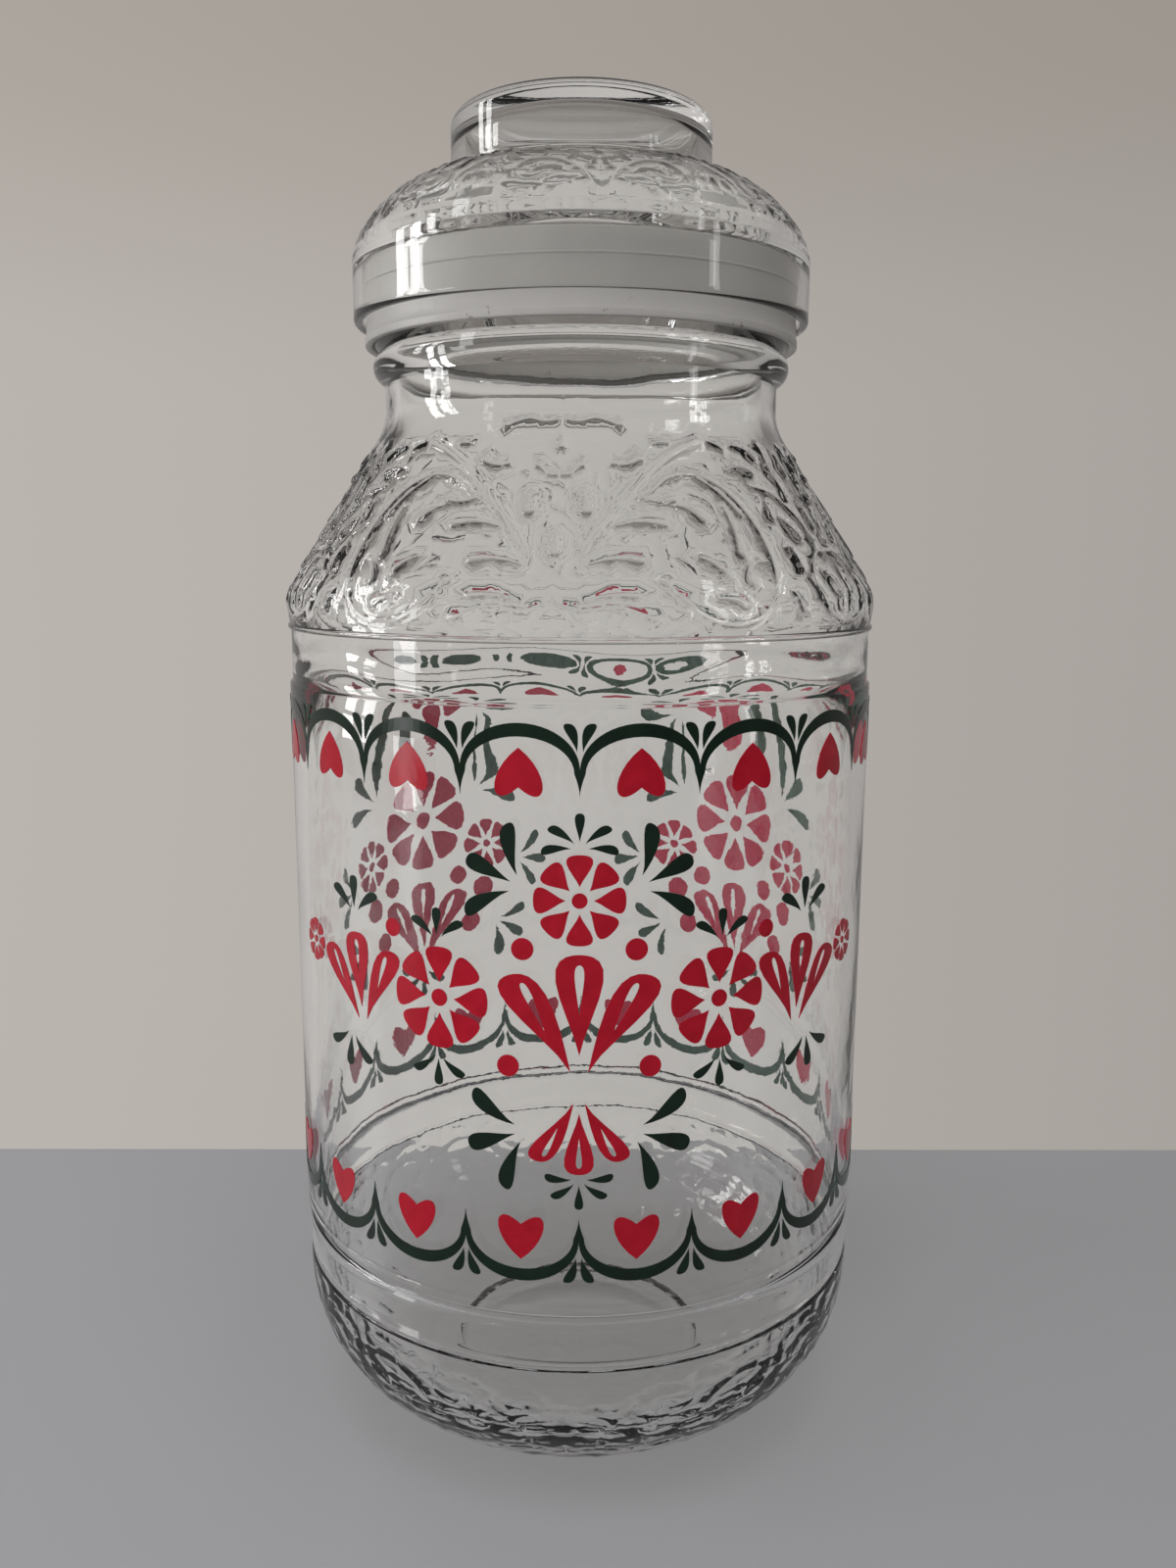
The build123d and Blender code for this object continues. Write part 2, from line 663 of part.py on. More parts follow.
def make_prints():
    """Every enamel layer, by the name of its node."""
    back_views = (180 - bouquet_turn, 180 + bouquet_turn)
    return {
        "upper_border_green": border(border_green(), top_tip_z, 0),
        "upper_border_hearts": border(border_hearts(), top_tip_z, 0),
        "lower_border_green": border(border_green(), bottom_tip_z, 180),
        "lower_border_hearts": border(border_hearts(), bottom_tip_z, 180),
        "front_flowers_red": picture(front_red_shares, (0,)),
        "front_leaves_green": picture(front_green_shares, (0,)),
        "back_flowers_red": picture(bouquet_red_shares, back_views),
        "back_leaves_green": picture(bouquet_green_shares, back_views),
    }


enamel_layer = make_layer()
nodes = {"jar": make_jar(), "seal_collar": make_collar(), "lid": make_lid()}
for name, solids in make_prints().items():
    nodes[name] = Compound(children=solids)

os.makedirs("parts", exist_ok=True)
for name, shape in nodes.items():
    export_step(shape, f"parts/{name}.step")
    print(name, len(shape.solids()), "solids, volume", round(shape.volume, 2))
print("height", round(knob_top_z, 2), "width", round(2 * belt_radius, 2))
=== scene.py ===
"""Looks for a clear glass rumtopf: the pot, its plastic sealing collar, its glass lid and its prints."""

import logging
import math
from dataclasses import dataclass
from enum import Enum

import bmesh
import bpy
import numpy as np
from mathutils import Matrix, Vector
from mathutils.geometry import delaunay_2d_cdt


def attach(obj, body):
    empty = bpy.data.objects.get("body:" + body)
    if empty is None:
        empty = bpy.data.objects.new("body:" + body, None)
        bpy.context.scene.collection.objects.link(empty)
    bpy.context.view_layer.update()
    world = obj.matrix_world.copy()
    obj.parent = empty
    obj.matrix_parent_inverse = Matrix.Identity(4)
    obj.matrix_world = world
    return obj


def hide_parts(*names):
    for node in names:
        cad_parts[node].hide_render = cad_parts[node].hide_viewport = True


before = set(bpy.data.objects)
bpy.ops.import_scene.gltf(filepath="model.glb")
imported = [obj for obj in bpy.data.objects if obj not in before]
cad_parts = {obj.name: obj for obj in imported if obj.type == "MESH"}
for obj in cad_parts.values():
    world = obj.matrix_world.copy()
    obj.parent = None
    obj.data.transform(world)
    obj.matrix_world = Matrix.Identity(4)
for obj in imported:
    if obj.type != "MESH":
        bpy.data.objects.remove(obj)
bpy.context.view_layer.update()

logging.basicConfig(level=logging.INFO, format="%(message)s")
log = logging.getLogger("rumtopf")

MM = 0.001
# Points round every turned surface.
COLUMNS = 240
Point = tuple[float, float]
Colour = tuple[float, float, float, float]
Tree = bpy.types.NodeTree


def linear(colour: str) -> Colour:
    """Turn an sRGB hex colour into the linear colour that a socket takes.

    Args:
        colour: six hex digits after a hash.

    Returns:
        Linear red, green and blue, and full alpha.
    """
    shares = [int(colour[place : place + 2], 16) / 255 for place in (1, 3, 5)]
    red, green, blue = (c / 12.92 if c <= 0.04045 else ((c + 0.055) / 1.055) ** 2.4 for c in shares)
    return red, green, blue, 1.0


def add_node(
    tree: Tree, kind: str, settings: dict | None = None, inputs: dict | None = None
) -> bpy.types.Node:
    """Add one node to a tree.

    Args:
        tree: the node tree.
        kind: the node's type name, less its first word ShaderNode.
        settings: properties of the node.
        inputs: by socket name or number, a value, an output socket to link, or a node to link by
            its first output.

    Returns:
        The new node.
    """
    node = tree.nodes.new("ShaderNode" + kind)
    for name, value in (settings or {}).items():
        setattr(node, name, value)
    for name, value in (inputs or {}).items():
        if isinstance(value, bpy.types.Node):
            value = value.outputs[0]
        if isinstance(value, bpy.types.NodeSocket):
            tree.links.new(value, node.inputs[name])
        else:
            node.inputs[name].default_value = value
    return node


def new_material(name: str) -> tuple[bpy.types.Material, Tree]:
    """Make a material with an empty node tree.

    Args:
        name: what the material is called.

    Returns:
        The material and its tree.
    """
    material = bpy.data.materials.new(name)
    material.use_nodes = True
    material.node_tree.nodes.clear()
    return material, material.node_tree


# Profiles


def lengths(points: np.ndarray) -> np.ndarray:
    """Running length along rows of x and y: the sum of the steps' lengths, from 0."""
    return np.concatenate([[0], np.cumsum(np.hypot(*np.diff(points, axis=0).T))])


def straight(start: Point, end: Point, rows: int) -> np.ndarray:
    """Rows along a straight run, without its end: start + t (end - start), t even from 0."""
    share = np.arange(rows)[:, None] / rows
    return np.array(start) * (1 - share) + np.array(end) * share


def arc(centre: Point, radii: Point, first: float, last: float, rows: int) -> np.ndarray:
    """Rows along an ellipse, without its end: centre + (a cos t, b sin t), t from first to last degrees."""
    angle = np.radians(first + (last - first) * np.arange(rows) / rows)
    return np.stack([centre[0] + radii[0] * np.cos(angle), centre[1] + radii[1] * np.sin(angle)], 1)


def even_arc(centre: Point, radii: Point, first: float, last: float, rows: int) -> np.ndarray:
    """Rows along an ellipse at even lengths: a fine arc resampled by its running length.

    Args:
        centre: of the ellipse.
        radii: across and up.
        first: angle of its start in degrees.
        last: angle of its end.
        rows: how many, its end included.

    Returns:
        Rows of radius and height.
    """
    fine = arc(centre, radii, first, last, 2000)
    fine = np.vstack([fine, arc(centre, radii, last, last + 1, 1)])
    length = lengths(fine)
    wanted = np.linspace(0, length[-1], rows)
    return np.stack([np.interp(wanted, length, fine[:, 0]), np.interp(wanted, length, fine[:, 1])], 1)


def bend(start: Point, knee: Point, end: Point, rows: int) -> np.ndarray:
    """Rows along a quadratic curve, without its end: (1-t)^2 start + 2t(1-t) knee + t^2 end."""
    t = np.arange(rows)[:, None] / rows
    return (1 - t) ** 2 * np.array(start) + 2 * t * (1 - t) * np.array(knee) + t**2 * np.array(end)


def arc_through(start: Point, middle: Point, end: Point, rows: int) -> np.ndarray:
    """Rows along the circle through three points, by even steps of its angle.

    Its centre is where the bisectors of the points' chords meet, and it turns the way that
    passes the middle point.

    Args:
        start: the first point.
        middle: a point between.
        end: the last point, which is left out.
        rows: how many.

    Returns:
        Rows of radius and height.
    """
    (ax, ay), (bx, by), (cx, cy) = start, middle, end
    twice = 2 * (ax * (by - cy) + bx * (cy - ay) + cx * (ay - by))
    squares = (ax * ax + ay * ay, bx * bx + by * by, cx * cx + cy * cy)
    ux = (squares[0] * (by - cy) + squares[1] * (cy - ay) + squares[2] * (ay - by)) / twice
    uy = (squares[0] * (cx - bx) + squares[1] * (ax - cx) + squares[2] * (bx - ax)) / twice
    first, mid, last = (math.degrees(math.atan2(y - uy, x - ux)) for x, y in (start, middle, end))
    turn = (last - first + 180) % 360 - 180
    passing = (mid - first + 180) % 360 - 180
    if passing > max(turn, 0) or passing < min(turn, 0):
        turn -= math.copysign(360, turn)
    radius = math.hypot(ax - ux, ay - uy)
    return arc((ux, uy), (radius, radius), first, first + turn, rows)


# Embossing


@dataclass(frozen=True)
class Leaf:
    """A raised comma stroke: a thin root, a round head and a sideways bow, in mm."""

    root: Point
    head: Point
    bow: float
    half_width: float
    step: float = 0.65

    def samples(self) -> np.ndarray:
        """Sample the stroke's middle line from root to head, t even from 0 to 1.

        A sample lies 4t(1-t) of the bow to the side of the straight line, and its half width is
        the head's times 0.3 + 0.7 t^1.2.

        Returns:
            Rows of x, y, half width and height share.
        """
        root, head = np.array(self.root), np.array(self.head)
        length = np.hypot(*(head - root))
        t = np.linspace(0, 1, max(6, int(length / self.step)))[:, None]
        along = (head - root) / length
        across = np.array([-along[1], along[0]])
        middle = root + (head - root) * t + across * self.bow * 4 * t * (1 - t)
        return np.hstack([middle, self.half_width * (0.3 + 0.7 * t**1.2), np.ones_like(t)])


@dataclass(frozen=True)
class Stem:
    """A raised stem through points, that thickens a little and may end in a round bud, in mm."""

    points: tuple[Point, ...]
    half_width: float
    bud: float = 0.0
    strength: float = 0.75
    step: float = 0.7

    def samples(self) -> np.ndarray:
        """Sample a Catmull-Rom curve through the points at even lengths.

        At length s the half width is the stem's times 0.55 + s/12, up to 1, or that of the bud:
        half a circle at the end.

        Returns:
            Rows of x, y, half width and height share.
        """
        p = np.array(self.points, float)
        p = np.vstack([2 * p[0] - p[1], p, 2 * p[-1] - p[-2]])
        t = np.linspace(0, 1, 24, endpoint=False)[:, None, None]
        a, b, c, d = p[None, :-3], p[None, 1:-2], p[None, 2:-1], p[None, 3:]
        squared, cubed = (2 * a - 5 * b + 4 * c - d) * t**2, (3 * b - a - 3 * c + d) * t**3
        curve = 0.5 * (2 * b + (c - a) * t + squared + cubed)
        curve = np.vstack([curve.transpose(1, 0, 2).reshape(-1, 2), self.points[-1]])
        length = lengths(curve)
        even = np.linspace(0, length[-1], int(length[-1] / self.step))
        curve = np.stack([np.interp(even, length, curve[:, axis]) for axis in (0, 1)], 1)
        width = self.half_width * np.clip(0.55 + even / 12, 0, 1)
        from_end = (even[-1] - even) / max(self.bud, 0.1)
        width = np.maximum(width, self.bud * np.clip(1 - from_end**2, 0, 1) ** 0.5)
        return np.column_stack([curve, width, np.full(len(width), self.strength)])


@dataclass(frozen=True)
class Ornament:
    """Embossing that repeats round a wall, each repeat mirrored about its own middle.

    Its drawing is half a repeat, across from the middle and up along the wall, in mm at the
    radius that it is drawn for. Past the calm strip at its foot the strokes grow by the share
    swell, over the length of swell_run. The mesh has places on lines at shares of each stroke's
    half width, and a wide net on what is bare.
    """

    strokes: tuple
    repeats: int
    drawn_radius: float
    height: float
    turn: float
    cell: float = 0.3
    swell: float = 0.0
    swell_from: float = 9.0
    swell_run: float = 6.0
    lines: tuple[float, ...] = (0.62, 0.9, 1.04)
    fan_points: int = 5
    fan_turn: float = 1.2
    net_start: float = 1.4
    net_across: float = 3.2
    net_up: float = 3.0
    bare: float = 1.6
    clear_across: float = 0.25
    clear_up: float = 0.3

    @property
    def half(self) -> float:
        """How far half a repeat goes across."""
        return math.pi * self.drawn_radius / self.repeats

    def samples(self) -> np.ndarray:
        """Sample all strokes and their mirror images about both ends of half a repeat.

        Returns:
            Rows of x, y, half width and height share.
        """
        rows = np.vstack([stroke.samples() for stroke in self.strokes])
        mirror = np.array([-1, 1, 1, 1])
        return np.vstack([rows, rows * mirror, rows * mirror + [2 * self.half, 0, 0, 0]])

    def relief(self, flat: np.ndarray, stretch: np.ndarray) -> np.ndarray:
        """Height of the embossing at flat places.

        It is the highest of all samples' domes, height * (1 - (d / w)^2)^0.6, where d is the
        distance on the wall and w the sample's half width. Thin strokes are lower: their height
        is that of a wide one times 0.2 + 0.55 w.

        Args:
            flat: rows of across and up, in mm at the drawn radius.
            stretch: each place's true radius over the drawn radius.

        Returns:
            Heights in mm.
        """
        result = np.zeros(len(flat))
        for x, y, width, strength in self.samples():
            near = np.abs(flat[:, 1] - y) < width
            share = (((flat[near, 0] - x) * stretch[near]) ** 2 + (flat[near, 1] - y) ** 2) / width**2
            top = self.height * strength * min(1.0, 0.2 + 0.55 * width)
            result[near] = np.maximum(result[near], top * np.clip(1 - share, 0, None) ** 0.6)
        return result * (1 + self.swell * np.clip((flat[:, 1] - self.swell_from) / self.swell_run, 0, 1))

    def sites(self, length: float, stretch_at: np.ndarray, heights: np.ndarray) -> np.ndarray:
        """Places to join into triangles over half a repeat.

        Args:
            length: how far the wall goes up.
            stretch_at: true over drawn radius, at the heights.
            heights: lengths up the wall.

        Returns:
            Rows of across and up.
        """
        laid = []
        for stroke in self.strokes:
            rows = stroke.samples()
            way = np.gradient(rows[:, :2], axis=0)
            way /= np.hypot(*way.T)[:, None]
            side = np.stack([-way[:, 1], way[:, 0]], 1)
            for share in (0, *(sign * line for line in self.lines for sign in (1, -1))):
                laid.append(np.hstack([rows[:, :2], side * rows[:, 2:3] * share]))
            turn = np.linspace(-self.fan_turn, self.fan_turn, self.fan_points)[:, None]
            for end, sign in ((0, -1), (-1, 1)):
                fan = sign * (way[end] * np.cos(turn) + side[end] * np.sin(turn)) * rows[end, 2]
                hub = np.tile(rows[end, :2], (self.fan_points, 1))
                laid += [np.hstack([hub, fan * line]) for line in self.lines]
        laid = np.vstack(laid)
        stretch = np.interp(laid[:, 1], heights, stretch_at)
        places = laid[:, :2] + laid[:, 2:] / np.stack([stretch, np.ones(len(laid))], 1)
        net_x = np.arange(self.net_start, self.half, self.net_across)
        net_y = np.arange(self.net_start, length, self.net_up)
        net = np.stack([axis.ravel() for axis in np.meshgrid(net_x, net_y)], 1)
        gap = np.abs(net[:, None] - places).sum(2).min(1)
        places = np.vstack([places, net[gap > self.bare]])
        across, up = places.T
        inside = (across > self.clear_across) & (across < self.half - self.clear_across)
        places = places[inside & (up > self.clear_up) & (up < length - self.clear_up)]
        kept = np.unique(np.round(places / self.cell).astype(int), axis=0, return_index=True)[1]
        return places[np.sort(kept)]


# Turned shells


@dataclass
class Band:
    """Rows of a turned surface: radius and height in mm, and which of the piece's finishes it has.

    A band may carry an ornament, or lengths by which its points stand off the profile.
    """

    profile: np.ndarray
    finish: int = 0
    ornament: Ornament | None = None
    uneven: np.ndarray | None = None

    def place(self, up: np.ndarray, angle: np.ndarray, out: np.ndarray) -> np.ndarray:
        """Put points on the turned surface.

        A point is at radius r and height z of the profile, moved along its normal, and at angle
        a from the front: (r sin a, -r cos a, z).

        Args:
            up: lengths up the profile.
            angle: angles from the front.
            out: how far outwards.

        Returns:
            Rows of x, y and z.
        """
        length = lengths(self.profile)
        radius, height = (np.interp(up, length, self.profile[:, axis]) for axis in (0, 1))
        way = np.gradient(self.profile, length, axis=0)
        across, rise = (np.interp(up, length, way[:, axis]) for axis in (0, 1))
        radius, height = radius + out * rise, height - out * across
        return np.stack([radius * np.sin(angle), -radius * np.cos(angle), height], -1)

    def plain_mesh(self) -> tuple[np.ndarray, np.ndarray]:
        """Mesh the band as rows of quads, a pole being a row of equal points.

        Returns:
            Points, and faces of four corners.
        """
        rows = len(self.profile)
        angle = np.tile(np.arange(COLUMNS) * 2 * np.pi / COLUMNS, rows)
        out = np.zeros(rows * COLUMNS) if self.uneven is None else self.uneven.ravel()
        points = self.place(np.repeat(lengths(self.profile), COLUMNS), angle, out)
        first = np.arange(rows - 1)[:, None] * COLUMNS
        j = np.arange(COLUMNS)[None, :]
        k = (j + 1) % COLUMNS
        faces = np.stack([first + j, first + k, first + COLUMNS + k, first + COLUMNS + j], -1)
        return points, faces.reshape(-1, 4)

    def embossed_mesh(self) -> tuple[np.ndarray, np.ndarray]:
        """Mesh the band with its embossing.

        Half a repeat is a Delaunay net over the ornament's sites and its four edges, with the
        edges' points where the neighbouring bands have theirs. It is mirrored and repeated round.

        Returns:
            Points, and faces of three corners and -1.
        """
        ornament, edge_step, same_place, on_edge = self.ornament, 0.8, 1e-5, 0.01
        heights = lengths(self.profile)
        length, half = heights[-1], ornament.half
        stretch_at = self.profile[:, 0] / ornament.drawn_radius
        steps = COLUMNS // (2 * ornament.repeats)
        across = np.arange(steps + 1) * half / steps
        up = np.linspace(0, length, int(length / edge_step))[1:-1]
        edges = [np.column_stack([across, np.full(steps + 1, end)]) for end in (0.0, length)]
        edges += [np.column_stack([np.full(len(up), end), up]) for end in (0.0, half)]
        flat = np.vstack([*edges, ornament.sites(length, stretch_at, heights)])
        made = delaunay_2d_cdt([Vector(place) for place in flat.tolist()], [], [], 0, same_place)
        flat = np.array([tuple(place) for place in made[0]])
        net = np.array([face for face in made[2] if len(face) == 3])
        out = ornament.relief(flat, np.interp(flat[:, 1], heights, stretch_at))
        out[(flat[:, 1] < on_edge) | (flat[:, 1] > length - on_edge)] = 0
        points, faces = [], []
        for repeat in range(ornament.repeats):
            middle = math.radians(ornament.turn) + repeat * 2 * np.pi / ornament.repeats
            for side in (1, -1):
                faces.append((net if side == 1 else net[:, ::-1]) + len(points) * len(flat))
                angle = side * flat[:, 0] / ornament.drawn_radius + middle
                points.append(self.place(flat[:, 1], angle, out))
        faces = np.vstack(faces)
        return np.vstack(points), np.column_stack([faces, np.full(len(faces), -1)])


def mesh_object(
    name: str, points: np.ndarray, faces: np.ndarray, materials: list, indices: np.ndarray
) -> bpy.types.Object:
    """Make a mesh object from whole arrays.

    Args:
        name: the piece's name.
        points: corners in mm.
        faces: four indices per face, the last -1 for a triangle.
        materials: the piece's materials.
        indices: each face's material.

    Returns:
        The object, in the scene, smooth shaded.
    """
    mesh = bpy.data.meshes.new(name)
    mesh.from_pydata((points * MM).tolist(), [], [f[:3] if f[3] < 0 else f for f in faces.tolist()])
    for material in materials:
        mesh.materials.append(material)
    mesh.polygons.foreach_set("material_index", indices.astype(np.int32))
    mesh.polygons.foreach_set("use_smooth", np.ones(len(faces), bool))
    mesh.update()
    piece = bpy.data.objects.new(name, mesh)
    bpy.context.scene.collection.objects.link(piece)
    return piece


def turned_piece(name: str, bands: list[Band], closed: bool, materials: list) -> bpy.types.Object:
    """Spin bands about the axis and sew them into one closed surface.

    A plain band is joined to the next one by that one's first row, and equal points are merged.

    Args:
        name: the piece's name.
        bands: the rows in order, the solid on their left.
        closed: True to join the last row to the first.
        materials: the finishes that the bands name.

    Returns:
        The piece.
    """
    merge_mm, sliver_mm, sharp_degrees = 0.004, 0.001, 62
    points, faces, indices, total = [], [], [], 0
    for number, band in enumerate(bands):
        if band.ornament is None and (closed or number < len(bands) - 1):
            following = bands[(number + 1) % len(bands)].profile[:1]
            uneven = None if band.uneven is None else np.vstack([band.uneven, np.zeros(COLUMNS)])
            band = Band(np.vstack([band.profile, following]), band.finish, None, uneven)
        made = band.plain_mesh() if band.ornament is None else band.embossed_mesh()
        points.append(made[0])
        faces.append(np.where(made[1] < 0, -1, made[1] + total))
        indices.append(np.full(len(made[1]), band.finish))
        total += len(made[0])
    piece = mesh_object(name, np.vstack(points), np.vstack(faces), materials, np.concatenate(indices))
    work = bmesh.new()
    work.from_mesh(piece.data)
    bmesh.ops.remove_doubles(work, verts=work.verts, dist=merge_mm * MM)
    bmesh.ops.dissolve_degenerate(work, dist=sliver_mm * MM, edges=work.edges)
    loose = [edge for edge in work.edges if len(edge.link_faces) != 2]
    log.info("%s: %d open edges", name, len(loose))
    work.to_mesh(piece.data)
    work.free()
    piece.data.set_sharp_from_angle(angle=math.radians(sharp_degrees))
    return piece


# Finishes


@dataclass(frozen=True)
class PressedGlass:
    """Clear soda-lime glass, pressed or blown in an iron mould and fire-polished.

    To the eye it is colourless, a little grey where much of it lies one behind another. The
    window's lights on it are sharp, and what is behind it swims a little.
    """

    name: str
    ripple_mm: float
    ripple_depth_mm: float
    grain_mm: float
    grain_depth_mm: float
    tint: str = "#FDFDFC"
    shade: str = "#F7F7F6"
    ior: float = 1.5

    def make(self) -> bpy.types.Material:
        """Build the material.

        Returns:
            The glass.
        """
        material, tree = new_material(self.name)
        place = add_node(tree, "TexCoord").outputs["Object"]
        # A cool mould leaves a wide ripple, which makes straight lines behind it waver. The grain
        # on it breaks the edges of the window's lights.
        normal = {}
        layers = (self.ripple_mm, self.ripple_depth_mm, 1.0), (self.grain_mm, self.grain_depth_mm, 2.0)
        for size, depth, detail in layers:
            cloud = {"Vector": place, "Scale": 1 / (size * MM), "Detail": detail}
            height = add_node(tree, "TexNoise", inputs=cloud)
            waves = {"Height": height, "Strength": 1.0, "Distance": depth * MM}
            normal = {"Normal": add_node(tree, "Bump", inputs=waves | normal)}
        # Fire-polished: no roughness, so that it mirrors sharply.
        inputs = {"Base Color": linear(self.tint), "Roughness": 0.0, "IOR": self.ior}
        inputs |= {"Transmission Weight": 1.0} | normal
        glass = add_node(tree, "BsdfPrincipled", inputs=inputs)
        # Lamps shine through it: for their rays, and for light that has left a dull surface, it is
        # plain transparent, because bent light would take far too long to find its way out.
        clear = add_node(tree, "BsdfTransparent", inputs={"Color": linear(self.shade)})
        ray = add_node(tree, "LightPath").outputs
        dull = {0: ray["Is Shadow Ray"], 1: ray["Is Diffuse Ray"]}
        either = add_node(tree, "Math", {"operation": "MAXIMUM"}, dull)
        mixed = add_node(tree, "MixShader", inputs={0: either, 1: glass, 2: clear})
        add_node(tree, "OutputMaterial", inputs={"Surface": mixed})
        return material


@dataclass(frozen=True)
class FiredEnamel:
    """Screen-printed glass enamel, fired on.

    To the eye its face is an even, opaque gloss colour, faintly cloudy where the screen laid more
    or less of it. Its side on the glass is seen through the pot and is mottled. It is painted paler,
    as painted light that shines through the thin enamel from behind.
    """

    name: str
    colour: str
    cloud: str
    roughness: float
    cloud_mm: float
    wave_mm: float = 0.05
    thin: float = 0.3
    thick: float = 0.75

    def make(self) -> bpy.types.Material:
        """Build the material.

        Returns:
            The enamel.
        """
        material, tree = new_material(self.name)
        place = add_node(tree, "TexCoord").outputs["Object"]
        grain = {"Vector": place, "Scale": 1 / (self.cloud_mm * MM), "Detail": 4.0, "Roughness": 0.6}
        cloud = add_node(tree, "TexNoise", inputs=grain)
        # Two tones with a soft border are the uneven thickness of a printed layer. On the side on the glass
        # both tones are painted paler, as painted light shining through the enamel from behind.
        ramp = add_node(tree, "ValToRGB", inputs={"Fac": cloud})
        low, high = ramp.color_ramp.elements
        low.position, low.color = self.thin, linear(self.colour)
        high.position, high.color = self.thick, linear(self.cloud)
        # Its low waves blur the lights on it, and a low specular level keeps its colour deep.
        waves = {"Height": cloud, "Strength": 0.4, "Distance": self.wave_mm * MM}
        inputs = {"Base Color": ramp, "Roughness": self.roughness, "Specular IOR Level": 0.3}
        inputs["Normal"] = add_node(tree, "Bump", inputs=waves)
        shader = add_node(tree, "BsdfPrincipled", inputs=inputs)
        add_node(tree, "OutputMaterial", inputs={"Surface": shader})
        return material


@dataclass(frozen=True)
class MilkyPolyethylene:
    """Injection-moulded low-density polyethylene.

    To the eye it is milky and waxy: half of the light comes through it as a blur, its sheen is
    broad and dull, and grey dust has caught above its hem.
    """

    name: str = "milky polyethylene, moulded"
    colour: str = "#DCDAD7"
    cloud: str = "#C9C7C4"
    dust: str = "#6B5F52"
    cloud_mm: float = 14.0
    speck_mm: float = 2.2
    wave_mm: float = 0.2
    dust_top_mm: float = 315.5
    dust_full_mm: float = 309.5
    speck_from: float = 0.62
    speck_full: float = 0.68
    dust_most: float = 0.8

    def make(self) -> bpy.types.Material:
        """Build the material.

        Returns:
            The plastic.
        """
        material, tree = new_material(self.name)
        place = add_node(tree, "TexCoord").outputs["Object"]
        # Slow clouds: the plastic is thicker here than there, and so whiter.
        slow = {"Vector": place, "Scale": 1 / (self.cloud_mm * MM), "Detail": 3.0}
        cloud = add_node(tree, "TexNoise", inputs=slow)
        tones = {"Factor": cloud, 6: linear(self.colour), 7: linear(self.cloud)}
        tone = add_node(tree, "Mix", {"data_type": "RGBA"}, tones).outputs[2]
        # Dust is finer than this. Its specks are drawn this coarse to show, denser by the hem.
        fine = {"Vector": place, "Scale": 1 / (self.speck_mm * MM), "Detail": 4.0, "Roughness": 0.7}
        specks = add_node(tree, "TexNoise", inputs=fine)
        height = add_node(tree, "SeparateXYZ", inputs={"Vector": place}).outputs["Z"]
        near = {"Value": height, "From Min": self.dust_top_mm * MM, "From Max": self.dust_full_mm * MM}
        held = {"Value": specks, "From Min": self.speck_from, "From Max": self.speck_full}
        near_hem = add_node(tree, "MapRange", inputs=near)
        caught = add_node(tree, "MapRange", inputs=held | {"To Max": self.dust_most})
        share = add_node(tree, "Math", {"operation": "MULTIPLY"}, {0: near_hem, 1: caught})
        ends = {"Factor": share, 6: tone, 7: linear(self.dust)}
        soiled = add_node(tree, "Mix", {"data_type": "RGBA"}, ends).outputs[2]
        # Half of the light goes through, blurred, so that the rim behind shows as soft bands.
        waves = {"Height": cloud, "Strength": 0.5, "Distance": self.wave_mm * MM}
        inputs = {"Base Color": soiled, "Roughness": 0.4, "IOR": 1.51, "Transmission Weight": 0.5}
        inputs["Normal"] = add_node(tree, "Bump", inputs=waves)
        shader = add_node(tree, "BsdfPrincipled", inputs=inputs)
        add_node(tree, "OutputMaterial", inputs={"Surface": shader})
        return material


# The pot


